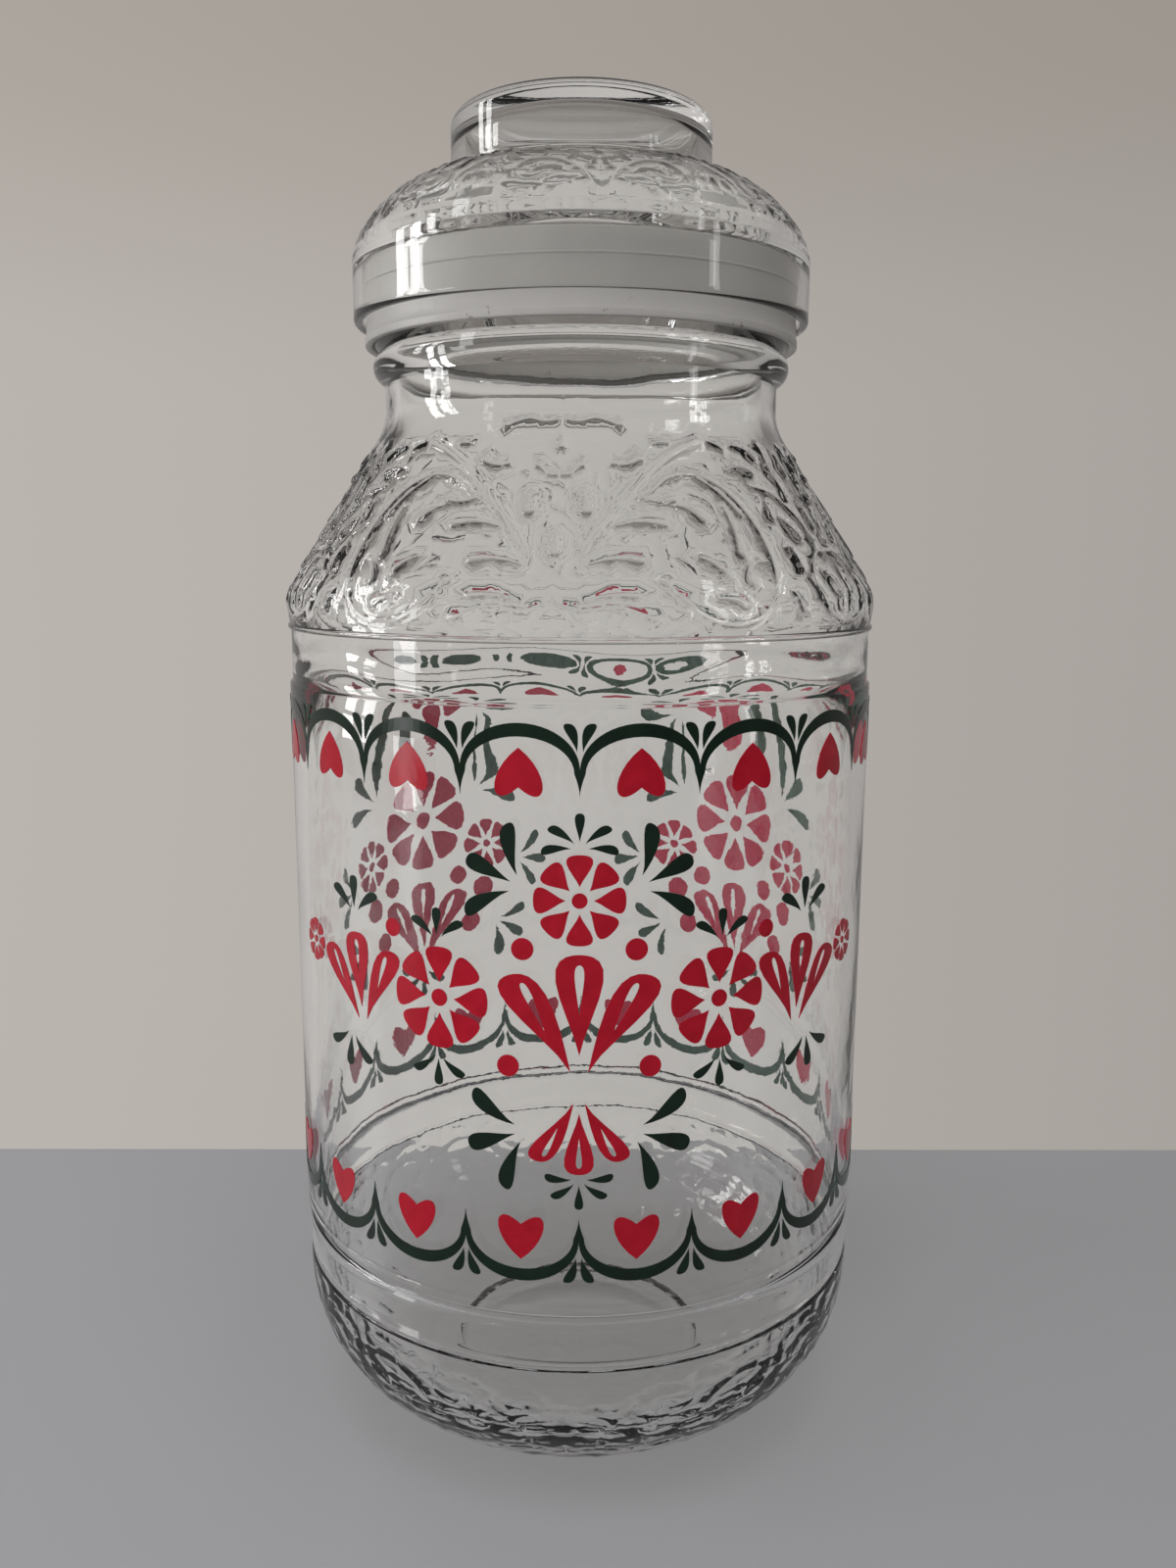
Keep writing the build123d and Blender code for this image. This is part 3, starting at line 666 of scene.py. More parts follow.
# Each table is half a repeat of an embossing, in mm at the radius that it is drawn for. Places are
# across from the repeat's middle and up along the wall. A leaf has its root, head, bow and half
# width, and a stem its points, its half width and the radius of its bud.
SHOULDER_STROKES = (
    Stem(
        ((6.5, 20.5), (9.5, 26.5), (14, 33), (19, 39), (25.5, 45), (32.5, 49.6), (41.5, 53.2)),
        1.5,
        strength=0.35,
    ),
    Stem(
        ((22.5, 36.8), (28.5, 41.8), (36.5, 42.9), (44.5, 38.7), (50, 29.6), (51.3, 18.1))
        + ((48.4, 7.9), (42.5, 2.5), (34.5, 2.3), (27.5, 6.9), (23, 12.6)),
        0.8,
        1.5,
    ),
    Stem(((54, 40.3), (61.5, 38.2), (68.2, 31.8), (70.6, 24.8)), 0.7, 1.2),
    Stem(((74.35, 21.1), (69, 20.7), (64.6, 16.3), (63.2, 10.4), (66, 4.6), (71, 1.8), (74.35, 1.5)), 0.8),
    Leaf((13.7, 27.8), (24.9, 28.4), 1.0, 1.45),
    Leaf((7.4, 17.2), (18.2, 18.3), 1.0, 1.45),
    Leaf((21, 35.8), (28.4, 35.4), -0.7, 1.2),
    Leaf((30.4, 33.5), (35.3, 30), 0.5, 1.5),
    Leaf((42.4, 33.5), (42.8, 20.2), 0.6, 1.6),
    Leaf((37, 42), (46.5, 31.7), 1.1, 1.3),
    Leaf((32, 19.2), (36.8, 15.5), 0.5, 1.5),
    Leaf((46.9, 18.1), (42.8, 12.5), -1.0, 1.7),
    Leaf((34.2, 8), (40.2, 6.4), 0.6, 1.4),
    Leaf((5.2, 6.6), (16.8, 8.9), 1.1, 1.1),
    Leaf((47.5, 44.4), (56.9, 44.4), 1.3, 1.45),
    Leaf((54.2, 52.2), (61, 48.9), 0.9, 1.4),
    Leaf((66.8, 53.1), (66, 46.3), 0.4, 1.2),
    Leaf((66.9, 43.2), (67.3, 36.9), 0.5, 1.3),
    Leaf((60.2, 31.1), (64.6, 25.5), 0.6, 1.4),
    Leaf((54.2, 9.4), (56.5, 5.4), 0.0, 1.4),
    Leaf((6.2, 37.2), (6.9, 32.0), 0.4, 1.5),
    Leaf((14.1, 45.6), (21.2, 47.0), -0.9, 1.5),
    Leaf((69, 15.1), (71, 10), 0.3, 1.4),
    Leaf((72.6, 9.1), (71.6, 5.3), 0.2, 0.9),
    Leaf((0, 26.2), (0, 20.2), 0, 1.1),
    Leaf((0, 53.5), (0, 50.5), 0, 0.9),
    Leaf((59.5, 22.2), (60.2, 16.3), 0.4, 1.2),
    Leaf((57.5, 35.8), (57.3, 30.9), 0.3, 1.1),
    Leaf((74.35, 34.7), (74.35, 28.7), 0, 1.3),
    Leaf((74.35, 51.2), (74.35, 44.7), 0, 1.3),
    Leaf((26, 51.5), (30.5, 52.2), 0.3, 0.9),
    Leaf((45.5, 52.9), (49, 51.2), 0.3, 1.0),
    Leaf((39, 13.3), (38.4, 10.2), 0, 0.8),
    Stem(((0, 42.4), (2.8, 42.6), (5.4, 45.2)), 0.8, 1.2),
    Stem(((0.2, 58.8), (5, 58.2), (10.5, 59.1), (17, 57.4)), 0.7, 1.1),
    Stem(((0.4, 7.2), (6, 5.4), (13, 6.2), (20, 3.6)), 0.55, 1.0),
)

BOWL_STROKES = (
    Stem(
        ((2.4, 50), (3.4, 54.5), (6.2, 58.4), (10.4, 58.2), (12.2, 54.6), (10, 51.2), (6.8, 52.2)),
        0.7,
        1.2,
    ),
    Stem(
        ((13.6, 50.5), (15.8, 55.6), (20.5, 58.6), (25.6, 56.8), (26.8, 52.4), (23.4, 49.6), (20.2, 51.8)),
        0.7,
        1.2,
    ),
    Stem(((28.4, 47), (32, 52.5), (37.6, 56), (43.5, 54.6), (44.6, 49.4), (40.8, 46.6)), 0.7, 1.3),
    Leaf((0, 57.5), (0, 53.4), 0, 1.0),
    Leaf((0, 50), (0, 45), 0, 1.3),
    Leaf((2.6, 46.5), (6.8, 44.2), -0.8, 1.3),
    Leaf((4.6, 50.4), (10.2, 47.6), 0.8, 1.2),
    Leaf((15.2, 49.3), (18.4, 45.3), 0.8, 1.3),
    Leaf((11, 44.5), (14.2, 40.6), 0.6, 1.3),
    Leaf((20.5, 47.3), (26.4, 45.9), 0.8, 1.2),
    Leaf((23.4, 42.8), (29.6, 42.3), -0.7, 1.3),
    Leaf((32.6, 46.7), (33.8, 41.8), 0.7, 1.3),
    Leaf((37.4, 51.3), (38.4, 46.6), 0.7, 1.2),
    Leaf((36.8, 42.6), (42.4, 42.2), 0.8, 1.3),
    Leaf((14, 62.3), (9.5, 61.4), 0.4, 1.0),
    Leaf((17.5, 62), (23, 62.2), 0.5, 1.0),
    Leaf((27.2, 61), (32.5, 59.8), 0.6, 1.1),
    Leaf((36.2, 60), (41.5, 61.5), 0.6, 1.1),
    Leaf((48.9, 58.6), (48.9, 53.2), 0, 1.3),
    Leaf((48.9, 49.5), (48.9, 44.6), 0, 1.2),
    Leaf((45.6, 58.6), (45.4, 63), 0.3, 1.0),
    Leaf((2.2, 61.4), (5.8, 62.8), -0.3, 0.9),
    Stem(((2, 41), (9, 37.5), (17, 36.6), (23, 38.6)), 0.6, 1.1),
    Stem(((27, 37.6), (34, 35.9), (41, 37), (46, 40)), 0.6, 1.1),
    Leaf((5.5, 34.4), (11.5, 33), 0.6, 1.2),
    Leaf((17.5, 32.6), (23.5, 33.4), -0.6, 1.2),
    Leaf((29, 32.8), (35.5, 32), 0.6, 1.2),
    Leaf((41, 33), (46, 34.6), -0.5, 1.1),
    Leaf((6, 29), (8.5, 21), 0.6, 1.5),
    Leaf((18, 28), (19.5, 20), 0.6, 1.5),
    Leaf((30.5, 28), (31, 20), 0.6, 1.5),
    Leaf((43, 29), (42, 21), 0.6, 1.5),
    Leaf((0.0, 24), (0.0, 17), 0, 1.4),
    Leaf((48.9, 24), (48.9, 17), 0, 1.4),
)

DOME_STROKES = (
    Stem(((1, 3), (4, 8.5), (9.5, 13.5), (15.5, 13.6), (18, 9.4), (15.2, 5.6), (11.4, 7)), 0.65, 1.2),
    Stem(((20.2, 4), (21, 9.8), (24.2, 14.6), (26.2, 16.4)), 0.6),
    Leaf((5.2, 5.4), (10.4, 3.6), -0.7, 1.1),
    Leaf((8, 9.6), (12.4, 9.8), 0.5, 1.0),
    Leaf((2.6, 9.6), (1.8, 14.4), 0.5, 1.1),
    Leaf((7, 13.6), (6.2, 18.4), 0.5, 1.1),
    Leaf((12.4, 15.6), (12.6, 20.6), 0.5, 1.1),
    Leaf((17.2, 14.2), (20.2, 18.4), -0.5, 1.1),
    Leaf((0, 21), (0, 17.4), 0, 1.0),
    Leaf((1.6, 23.4), (5.4, 23.2), 0.5, 0.9),
    Leaf((9, 22.6), (13, 24), -0.4, 1.0),
    Leaf((17, 23.2), (20.8, 21.8), 0.5, 1.0),
    Leaf((26.18, 4.4), (26.18, 9.6), 0, 1.3),
    Leaf((22.6, 5.4), (23.4, 9.2), 0.2, 0.9),
    Leaf((24.4, 20.6), (24, 24), 0.2, 1.0),
    Leaf((13.4, 2.6), (18, 2.8), 0.3, 0.9),
)


@dataclass
class GlassPot:
    """The pot: foot with a push-up, embossed bowl, plain wall, belt, embossed shoulder and mouth.

    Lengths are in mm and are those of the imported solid, but for the belt: there the strokes that
    lie on it reach the solid's 85.4 mm. A groove is a part of a circle cut into the wall, between
    the angles of its arc. The belt is bare over a strip between two heights above its foot. The
    uneven bore turns even between the two fade radii and the two fade heights.
    """

    foot: float = 47.0
    ring_inner: float = 38.0
    ring_round: float = 0.8
    push_up: float = 3.0
    bowl_height: float = 40.0
    band: float = 84.2
    body: float = 84.8
    upper_band: float = 84.0
    belt: float = 84.85
    groove: float = 1.5
    groove_z: float = 58.5
    fine_groove: float = 0.9
    fine_groove_z: float = 44.5
    groove_side: float = 1.0
    groove_arc: Point = (246.4, 92.0)
    fine_arc: Point = (263.0, 97.0)
    belt_arc: Point = (-88.0, 62.7)
    bare_strip: Point = (0.8, 1.8)
    upper_step_z: float = 216.5
    belt_z: float = 232.5
    shoulder_z: float = 243.0
    neck_z: float = 284.0
    shoulder_top: float = 58.4
    neck: float = 55.9
    bead_z: float = 299.5
    bead: float = 59.1
    mouth_groove: float = 56.7
    ledge_z: float = 308.0
    finish: float = 59.0
    finish_z: float = 310.0
    rim_z: float = 328.0
    rim_round: float = 1.5
    mouth: float = 51.9
    inner: float = 80.8
    wall: float = 4.0
    floor: float = 7.0
    ripple_low: float = 204.0
    ripple_depth: float = 0.24
    ripple_middle: float = 223.0
    ripple_spread: float = 7.5
    ripple_length: float = 13.0
    fade_radii: Point = (20.0, 50.0)
    fade_heights: Point = (295.0, 315.0)
    # Depth, turns round the wall, climb in radians per mm, and start of each slow wave.
    waves: tuple[tuple[float, int, float, float], ...] = (
        (0.07, 3, 0.021, 0.4),
        (0.05, 7, -0.035, 1.9),
        (0.035, 11, 0.09, 3.1),
        (0.025, 17, -0.13, 0.8),
        (0.02, 5, 0.19, 5.2),
    )
    # Size in radians, turns round the wall, and start of each wave that the ripple's crests follow.
    wanders: tuple[tuple[float, int, float], ...] = ((0.9, 9, 0.0), (0.5, 4, 1.3))
    shoulder_ornament: Ornament = Ornament(
        SHOULDER_STROKES, repeats=3, drawn_radius=71.0, height=0.52, turn=-4.5, cell=0.27, swell=0.5
    )
    bowl_ornament: Ornament = Ornament(
        BOWL_STROKES, repeats=4, drawn_radius=62.3, height=0.26, turn=-3.0, cell=0.4
    )

    def lower_bands(self) -> list[Band]:
        """Turn the outer wall's lower part.

        Returns:
            Bands from the middle of the foot to the foot of the belt.
        """
        sphere = (self.ring_inner**2 + self.push_up**2) / (2 * self.push_up)
        spread = math.degrees(math.asin(self.ring_inner / sphere))
        q, side = self.ring_round, self.groove_side
        under = np.vstack(
            [
                [(0.0, self.push_up)],
                arc((0, self.push_up - sphere), (sphere, sphere), 90, 90 - spread, 12)[1:],
                arc((self.ring_inner + q, q), (q, q), 215, 270, 3),
                straight((self.ring_inner + 1, 0), (self.foot, 0), 3),
            ]
        )
        bowl_radii = (self.band - self.foot, self.bowl_height)
        bowl = even_arc((self.foot, self.bowl_height), bowl_radii, 270, 360, 60)
        bowl_top = (self.band, self.fine_groove_z - side)
        fine, wide = (self.fine_groove, self.fine_groove), (self.groove, self.groove)
        wall_foot, wall_top = (self.body, self.groove_z + 1.6), (self.body, self.upper_step_z)
        step = (self.upper_band, self.upper_step_z + 1)
        wall = np.vstack(
            [
                [bowl_top],
                arc((self.band + 0.1, self.fine_groove_z), fine, *self.fine_arc, 7),
                straight((self.band, self.fine_groove_z + side), (self.band, self.groove_z - self.groove), 4),
                arc((self.body, self.groove_z), wide, *self.groove_arc, 10),
                straight(wall_foot, wall_top, 10),
                straight(wall_top, step, 3),
                straight(step, (self.upper_band, self.belt_z - side), 6),
                arc((self.upper_band, self.belt_z), fine, *self.belt_arc, 8),
            ]
        )
        return [Band(under), Band(np.vstack([bowl, bowl_top]), ornament=self.bowl_ornament), Band(wall)]

    def upper_bands(self) -> list[Band]:
        """Turn the outer wall's upper part.

        The belt is a low arc that bulges by belt - upper_band, and the shoulder is a cone with a
        quadratic curve into the neck.

        Returns:
            Bands from the belt to the mouth.
        """
        half = (self.shoulder_z - self.belt_z) / 2
        bulge = self.belt - self.upper_band
        circle = (half**2 + bulge**2) / (2 * bulge)
        centre = (self.belt - circle, self.belt_z + half)
        end = math.degrees(math.asin(half / circle))
        low, split = (math.degrees(math.asin((up - half) / circle)) for up in self.bare_strip)
        cone_foot, cone_top = (self.upper_band, self.shoulder_z), (self.shoulder_top, self.neck_z)
        slope = (self.upper_band - self.shoulder_top) / (self.neck_z - self.shoulder_z)
        knee = (self.neck, self.neck_z + (self.shoulder_top - self.neck) / slope)
        neck_top = (self.neck, self.neck_z + (self.bead_z - self.neck_z) / 2)
        shoulder = np.vstack(
            [
                arc(centre, (circle, circle), split, end, 10),
                straight(cone_foot, cone_top, 13),
                bend(cone_top, knee, neck_top, 8),
                neck_top,
            ]
        )
        bead_middle = (self.bead, (self.bead_z + self.ledge_z) / 2)
        q = self.rim_round
        rim, round_z = (self.finish - q, self.rim_z), self.rim_z - q
        mouth = np.vstack(
            [
                straight(neck_top, (self.neck, self.bead_z), 4),
                arc_through((self.neck, self.bead_z), bead_middle, (self.mouth_groove, self.ledge_z), 14),
                straight((self.mouth_groove, self.ledge_z), (self.finish, self.finish_z), 4),
                straight((self.finish, self.finish_z), (self.finish, round_z), 5),
                arc((self.finish - q, round_z), (q, q), 0, 90, 7),
                straight(rim, (self.mouth + q, self.rim_z), 4),
                arc((self.mouth + q, round_z), (q, q), 90, 180, 7),
            ]
        )
        belt = Band(arc(centre, (circle, circle), low, split, 2))
        return [belt, Band(shoulder, ornament=self.shoulder_ornament), Band(mouth)]

    def inside(self) -> Band:
        """Turn the bore, from the mouth down to the middle of the floor.

        Its wall is uneven, as blowing leaves it: by a sum of slow waves round and up it, under
        0.2 mm in all, and by a short ripple below the belt that fades by a bell curve up and down.

        Returns:
            One band.
        """
        run, rise = self.upper_band - self.shoulder_top, self.neck_z - self.shoulder_z
        slant = math.hypot(run, rise)
        inset = np.array((self.wall * rise / slant, self.wall * run / slant))
        cone_top = np.array((self.shoulder_top, self.neck_z)) - inset
        cone_foot = np.array((self.upper_band, self.shoulder_z)) - inset
        knee_z = cone_top[1] + (cone_top[0] - self.mouth) * rise / run
        knee_top = (self.mouth, 2 * knee_z - cone_top[1])
        round_top = self.floor + self.bowl_height - self.wall
        belt_top, belt_foot = (self.inner, self.belt_z + 4), (self.inner, self.belt_z - 2)
        floor_radii = (self.inner - self.foot, round_top - self.floor)
        profile = np.vstack(
            [
                straight((self.mouth, self.rim_z - self.rim_round), knee_top, 8),
                bend(knee_top, (self.mouth, knee_z), tuple(cone_top), 8),
                straight(tuple(cone_top), tuple(cone_foot), 7),
                bend(tuple(cone_foot), belt_top, belt_foot, 6),
                straight(belt_foot, (self.inner, self.ripple_low), 26),
                straight((self.inner, self.ripple_low), (self.inner, round_top), 14),
                arc((self.foot, round_top), floor_radii, 360, 270, 16),
                straight((self.foot, self.floor), (0, self.floor), 6),
                [(0.0, self.floor)],
            ]
        )
        angle = np.arange(COLUMNS) * 2 * np.pi / COLUMNS
        z = profile[:, 1:]
        uneven = np.zeros((len(profile), COLUMNS))
        for depth, turns, climb, start in self.waves:
            uneven += depth * np.sin(turns * angle + climb * z + start)
        # The waves fade out towards the floor's middle and towards the mouth.
        (small, large), (low, high) = self.fade_radii, self.fade_heights
        uneven *= np.clip((profile[:, :1] - small) / (large - small), 0, 1)
        uneven *= np.clip((high - z) / (high - low), 0, 1)
        bell = np.exp(-(((z - self.ripple_middle) / self.ripple_spread) ** 2))
        phase = 2 * np.pi * (z - self.ripple_middle) / self.ripple_length
        # The ripple's crests wander up and down a little on their way round.
        wander = sum(most * np.sin(turns * angle + start) for most, turns, start in self.wanders)
        uneven += self.ripple_depth * bell * np.sin(phase + wander)
        return Band(profile, 1, None, uneven)

    def build(self, glass: bpy.types.Material, bore_glass: bpy.types.Material) -> bpy.types.Object:
        """Make the pot's one closed shell.

        Args:
            glass: the finish of its outside.
            bore_glass: the finish of its inside.

        Returns:
            The piece, riding on the pot's body.
        """
        bands = [*self.lower_bands(), *self.upper_bands(), self.inside()]
        piece = turned_piece("glass_pot", bands, False, [glass, bore_glass])
        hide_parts("jar")
        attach(piece, "jar")
        return piece


# The lid


@dataclass
class GlassLid:
    """The lid: a skirt, an embossed dome and a hollow round knob, pressed in one. Lengths in mm."""

    skirt_bore: float = 61.7
    skirt: float = 64.2
    skirt_bottom: float = 315.4
    seat_z: float = 330.2
    skirt_top: float = 332.5
    edge_round: float = 1.2
    ledge_bore: float = 53.0
    ledge_round: float = 0.4
    bore_round: float = 0.5
    dome_foot: float = 63.2
    dome_foot_z: float = 336.0
    knob: float = 36.5
    knob_z: float = 354.2
    knob_root: float = 1.2
    top_z: float = 372.0
    knob_round: float = 4.0
    knob_bore: float = 32.5
    bore_top_z: float = 367.5
    crown: float = 1.6
    dome_bulge: float = 3.8
    inner_rise: float = 10.5
    wall: float = 4.0
    ornament: Ornament = Ornament(
        DOME_STROKES, repeats=6, drawn_radius=50.0, height=0.4, turn=4.5, cell=0.27
    )

    def bulged(self, start: Point, end: Point, bulge: float, rows: int) -> np.ndarray:
        """Turn a chord into an arc.

        Args:
            start: its first point.
            end: its last point, which is left out.
            bulge: how far it stands off the chord, to the left of the way it runs.
            rows: how many.

        Returns:
            Rows of radius and height.
        """
        (x0, y0), (x1, y1) = start, end
        length = math.hypot(x1 - x0, y1 - y0)
        off = bulge / length
        middle = ((x0 + x1) / 2 - (y1 - y0) * off, (y0 + y1) / 2 + (x1 - x0) * off)
        return arc_through(start, middle, end, rows)

    def bore(self) -> Band:
        """Turn the lid's inside, from the middle of the knob's hollow to the skirt's lower edge.

        Returns:
            One band.
        """
        hollow_z = self.bore_top_z - self.crown
        top = (self.knob_bore, self.knob_z - self.wall)
        foot = (self.ledge_bore, self.seat_z + self.inner_rise)
        q, b = self.ledge_round, self.bore_round
        ledge_z, under_seat = self.seat_z + q, self.seat_z - b
        profile = np.vstack(
            [
                [(0.0, self.bore_top_z + self.crown)],
                arc((0, hollow_z), (self.knob_bore, 2 * self.crown), 84, 12, 16),
                straight((self.knob_bore, hollow_z), top, 5),
                self.bulged(top, foot, self.dome_bulge, 14),
                straight(foot, (self.ledge_bore, ledge_z), 5),
                arc((self.ledge_bore + q, ledge_z), (q, q), 180, 270, 3),
                straight((self.ledge_bore + q, self.seat_z), (self.skirt_bore - b, self.seat_z), 4),
                arc((self.skirt_bore - b, under_seat), (b, b), 90, 0, 4),
                straight((self.skirt_bore, under_seat), (self.skirt_bore, self.skirt_bottom + b), 6),
            ]
        )
        return Band(profile, 1)

    def skirt_band(self) -> Band:
        """Turn the skirt, round its lower edge and up to the dome.

        Returns:
            One band.
        """
        b, q, brim = self.bore_round, self.edge_round, 0.3
        edge, low = self.skirt - q, self.skirt_bottom
        corner, over = (self.skirt, self.skirt_top), (self.skirt - 0.1, self.skirt_top + 0.4)
        profile = np.vstack(
            [
                arc((self.skirt_bore + b, low + b), (b, b), 180, 270, 4),
                straight((self.skirt_bore + b, low), (edge, low), 2),
                arc((edge, low + q), (q, q), 270, 360, 7),
                straight((self.skirt, low + q), (self.skirt, self.skirt_top - brim), 8),
                bend((self.skirt, self.skirt_top - brim), corner, over, 3),
                straight(over, (self.dome_foot, self.dome_foot_z), 4),
            ]
        )
        return Band(profile)

    def top_bands(self) -> list[Band]:
        """Turn the embossed dome and the knob.

        Returns:
            Two bands.
        """
        q, root, middle = self.knob_round, self.knob_root, 4.0
        dome_top = (self.knob + root, self.knob_z)
        dome = self.bulged((self.dome_foot, self.dome_foot_z), dome_top, -self.dome_bulge, 24)
        knob = np.vstack(
            [
                arc((self.knob + root, self.knob_z + root), (root, root), 270, 180, 5),
                straight((self.knob, self.knob_z + root), (self.knob, self.top_z - q), 8),
                arc((self.knob - q, self.top_z - q), (q, q), 0, 90, 12),
                straight((self.knob - q, self.top_z), (middle, self.top_z), 6),
                [(middle, self.top_z), (0.0, self.top_z)],
            ]
        )
        return [Band(np.vstack([dome, dome_top]), ornament=self.ornament), Band(knob)]

    def build(self, glass: bpy.types.Material, bore_glass: bpy.types.Material) -> bpy.types.Object:
        """Make the lid's one closed shell.

        Args:
            glass: the finish of its outside.
            bore_glass: the finish of its inside.

        Returns:
            The piece, riding on the lid's body.
        """
        bands = [self.bore(), self.skirt_band(), *self.top_bands()]
        piece = turned_piece("glass_lid", bands, False, [glass, bore_glass])
        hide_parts("lid")
        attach(piece, "lid")
        return piece


# The collar


@dataclass
class SealCollar:
    """The plastic collar, with its hem, a fine bead and an inner leg. Lengths in mm."""

    bore: float = 59.3
    radius: float = 60.8
    hem: float = 61.2
    bottom: float = 309.4
    hem_height: float = 2.0
    ceiling: float = 328.2
    top: float = 330.0
    leg_outer: float = 51.6
    leg_inner: float = 50.1
    leg_bottom: float = 319.0
    rounding: float = 0.5
    edge: float = 0.3
    hem_round: float = 0.4
    bead_drop: float = 6.2
    bead_radii: Point = (0.3, 0.4)

    def build(self, plastic: bpy.types.Material) -> bpy.types.Object:
        """Make the collar's closed ring: an upturned channel over the pot's rim.

        Args:
            plastic: its finish.

        Returns:
            The piece, riding on the collar's body.
        """
        q, e, h = self.rounding, self.edge, self.hem_round
        foot, leg_foot = self.bottom + e, self.leg_bottom + e
        hem_foot, hem_top = (self.hem, self.bottom + h), (self.hem, self.bottom + self.hem_height)
        side_foot = (self.radius, self.bottom + self.hem_height + h)
        bead_z, bead_half = self.top - self.bead_drop, self.bead_radii[1]
        bead_foot, bead_top = (self.radius, bead_z - bead_half), (self.radius, bead_z + bead_half)
        profile = np.vstack(
            [
                arc((self.bore + e, foot), (e, e), 180, 270, 3),
                straight((self.bore + e, self.bottom), (self.hem - h, self.bottom), 2),
                arc((self.hem - h, self.bottom + h), (h, h), 270, 360, 4),
                straight(hem_foot, hem_top, 3),
                straight(hem_top, side_foot, 3),
                straight(side_foot, bead_foot, 5),
                arc((self.radius, bead_z), self.bead_radii, -90, 90, 5),
                straight(bead_top, (self.radius, self.top - q), 4),
                arc((self.radius - q, self.top - q), (q, q), 0, 90, 5),
                straight((self.radius - q, self.top), (self.leg_inner + q, self.top), 5),
                arc((self.leg_inner + q, self.top - q), (q, q), 90, 180, 5),
                straight((self.leg_inner, self.top - q), (self.leg_inner, leg_foot), 4),
                arc((self.leg_inner + e, leg_foot), (e, e), 180, 270, 3),
                straight((self.leg_inner + e, self.leg_bottom), (self.leg_outer - e, self.leg_bottom), 2),
                arc((self.leg_outer - e, leg_foot), (e, e), 270, 360, 3),
                straight((self.leg_outer, leg_foot), (self.leg_outer, self.ceiling), 4),
                straight((self.leg_outer, self.ceiling), (self.bore, self.ceiling), 4),
                straight((self.bore, self.ceiling), (self.bore, foot), 6),
            ]
        )
        piece = turned_piece("plastic_seal_collar", [Band(profile)], True, [plastic])
        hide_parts("seal_collar")
        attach(piece, "seal")
        return piece


# The prints


class Motif(Enum):
    """What a row of a print's layout draws."""

    ROSETTE = "rosette"
    TULIP = "tulip"
    BERRY = "berry"
    SPRAY = "spray"
    FAN = "fan"


# Each row: what it is, how far across and up from the picture's middle, and its size, as shares of
# the picture's height, and its turn in degrees.
FRONT_RED = (
    (Motif.ROSETTE, 0.0, 0.265, 0.105, 0.0),
    (Motif.TULIP, 0.0, -0.14, 0.285, 0.0),
    (Motif.ROSETTE, 0.335, 0.015, 0.122, 0.0),
    (Motif.TULIP, 0.575, -0.085, 0.22, -6.0),
    (Motif.ROSETTE, 0.8, 0.065, 0.055, 0.0),
    (Motif.BERRY, 0.13, 0.15, 0.026, 0.0),
    (Motif.BERRY, 0.465, 0.165, 0.022, 0.0),
    (Motif.BERRY, 0.165, -0.13, 0.026, 0.0),
    (Motif.TULIP, 0.0, -0.215, 0.18, 180.0),
)
FRONT_GREEN = (
    (Motif.FAN, 0.0, 0.38, 0.065, 0.0),
    (Motif.SPRAY, 0.125, 0.29, 0.115, -64.0),
    (Motif.SPRAY, 0.115, -0.285, 0.12, -108.0),
    (Motif.SPRAY, 0.34, 0.145, 0.065, 0.0),
    (Motif.SPRAY, 0.34, -0.115, 0.065, 180.0),
    (Motif.SPRAY, 0.6, 0.165, 0.08, 0.0),
    (Motif.SPRAY, 0.62, -0.115, 0.08, 188.0),
    (Motif.FAN, 0.0, -0.4, 0.06, 180.0),
)
BACK_RED = (
    (Motif.ROSETTE, 0.0, 0.17, 0.16, 0.0),
    (Motif.ROSETTE, 0.25, 0.065, 0.085, 0.0),
    (Motif.TULIP, 0.0, -0.29, 0.26, 0.0),
    (Motif.BERRY, 0.14, -0.03, 0.032, 0.0),
    (Motif.BERRY, 0.235, -0.085, 0.038, 0.0),
    (Motif.BERRY, 0.19, -0.2, 0.034, 0.0),
)
BACK_GREEN = (
    (Motif.FAN, 0.0, 0.345, 0.1, 0.0),
    (Motif.SPRAY, 0.2, 0.245, 0.12, -50.0),
    (Motif.SPRAY, 0.355, 0.01, 0.09, -95.0),
    (Motif.SPRAY, 0.27, -0.2, 0.095, -120.0),
    (Motif.FAN, 0.0, -0.32, 0.08, 180.0),
)


@dataclass
class Patch:
    """A flat shape of a print as a grid: rows of x, y and depth, closed round its columns.

    With poles, the first and last row are single points. Without, the last row joins the first.
    """

    rows: list[np.ndarray]
    poles: bool

    def placed(self, across: float, up: float, turn: float = 0.0, mirrored: bool = False) -> "Patch":
        """Turn the patch about zero, then move it.

        Args:
            across: how far to the right.
            up: how far up.
            turn: degrees against the clock.
            mirrored: whether it is mirrored about zero at last.

        Returns:
            The new patch.
        """
        cosine, sine = math.cos(math.radians(turn)), math.sin(math.radians(turn))
        moved = []
        for row in self.rows:
            x = row[:, 0] * cosine - row[:, 1] * sine + across
            y = row[:, 0] * sine + row[:, 1] * cosine + up
            moved.append(np.stack([-x if mirrored else x, y, row[:, 2]], 1))
        return Patch(moved, self.poles)

    def rayed(self, reach: float, turn: float) -> "Patch":
        """The patch moved up by the reach, then all turned about zero by degrees."""
        angle = math.radians(turn)
        return self.placed(-reach * math.sin(angle), reach * math.cos(angle), turn)


def loop(left: np.ndarray, right: np.ndarray) -> np.ndarray:
    """An outline up a left side and down a right one, whose shared ends are there once."""
    return np.vstack([left, right[-2:0:-1]])


def at_depth(flat: np.ndarray, depth: float) -> np.ndarray:
    """Rows of x and y with a depth added."""
    return np.column_stack([flat, np.full(len(flat), depth)])


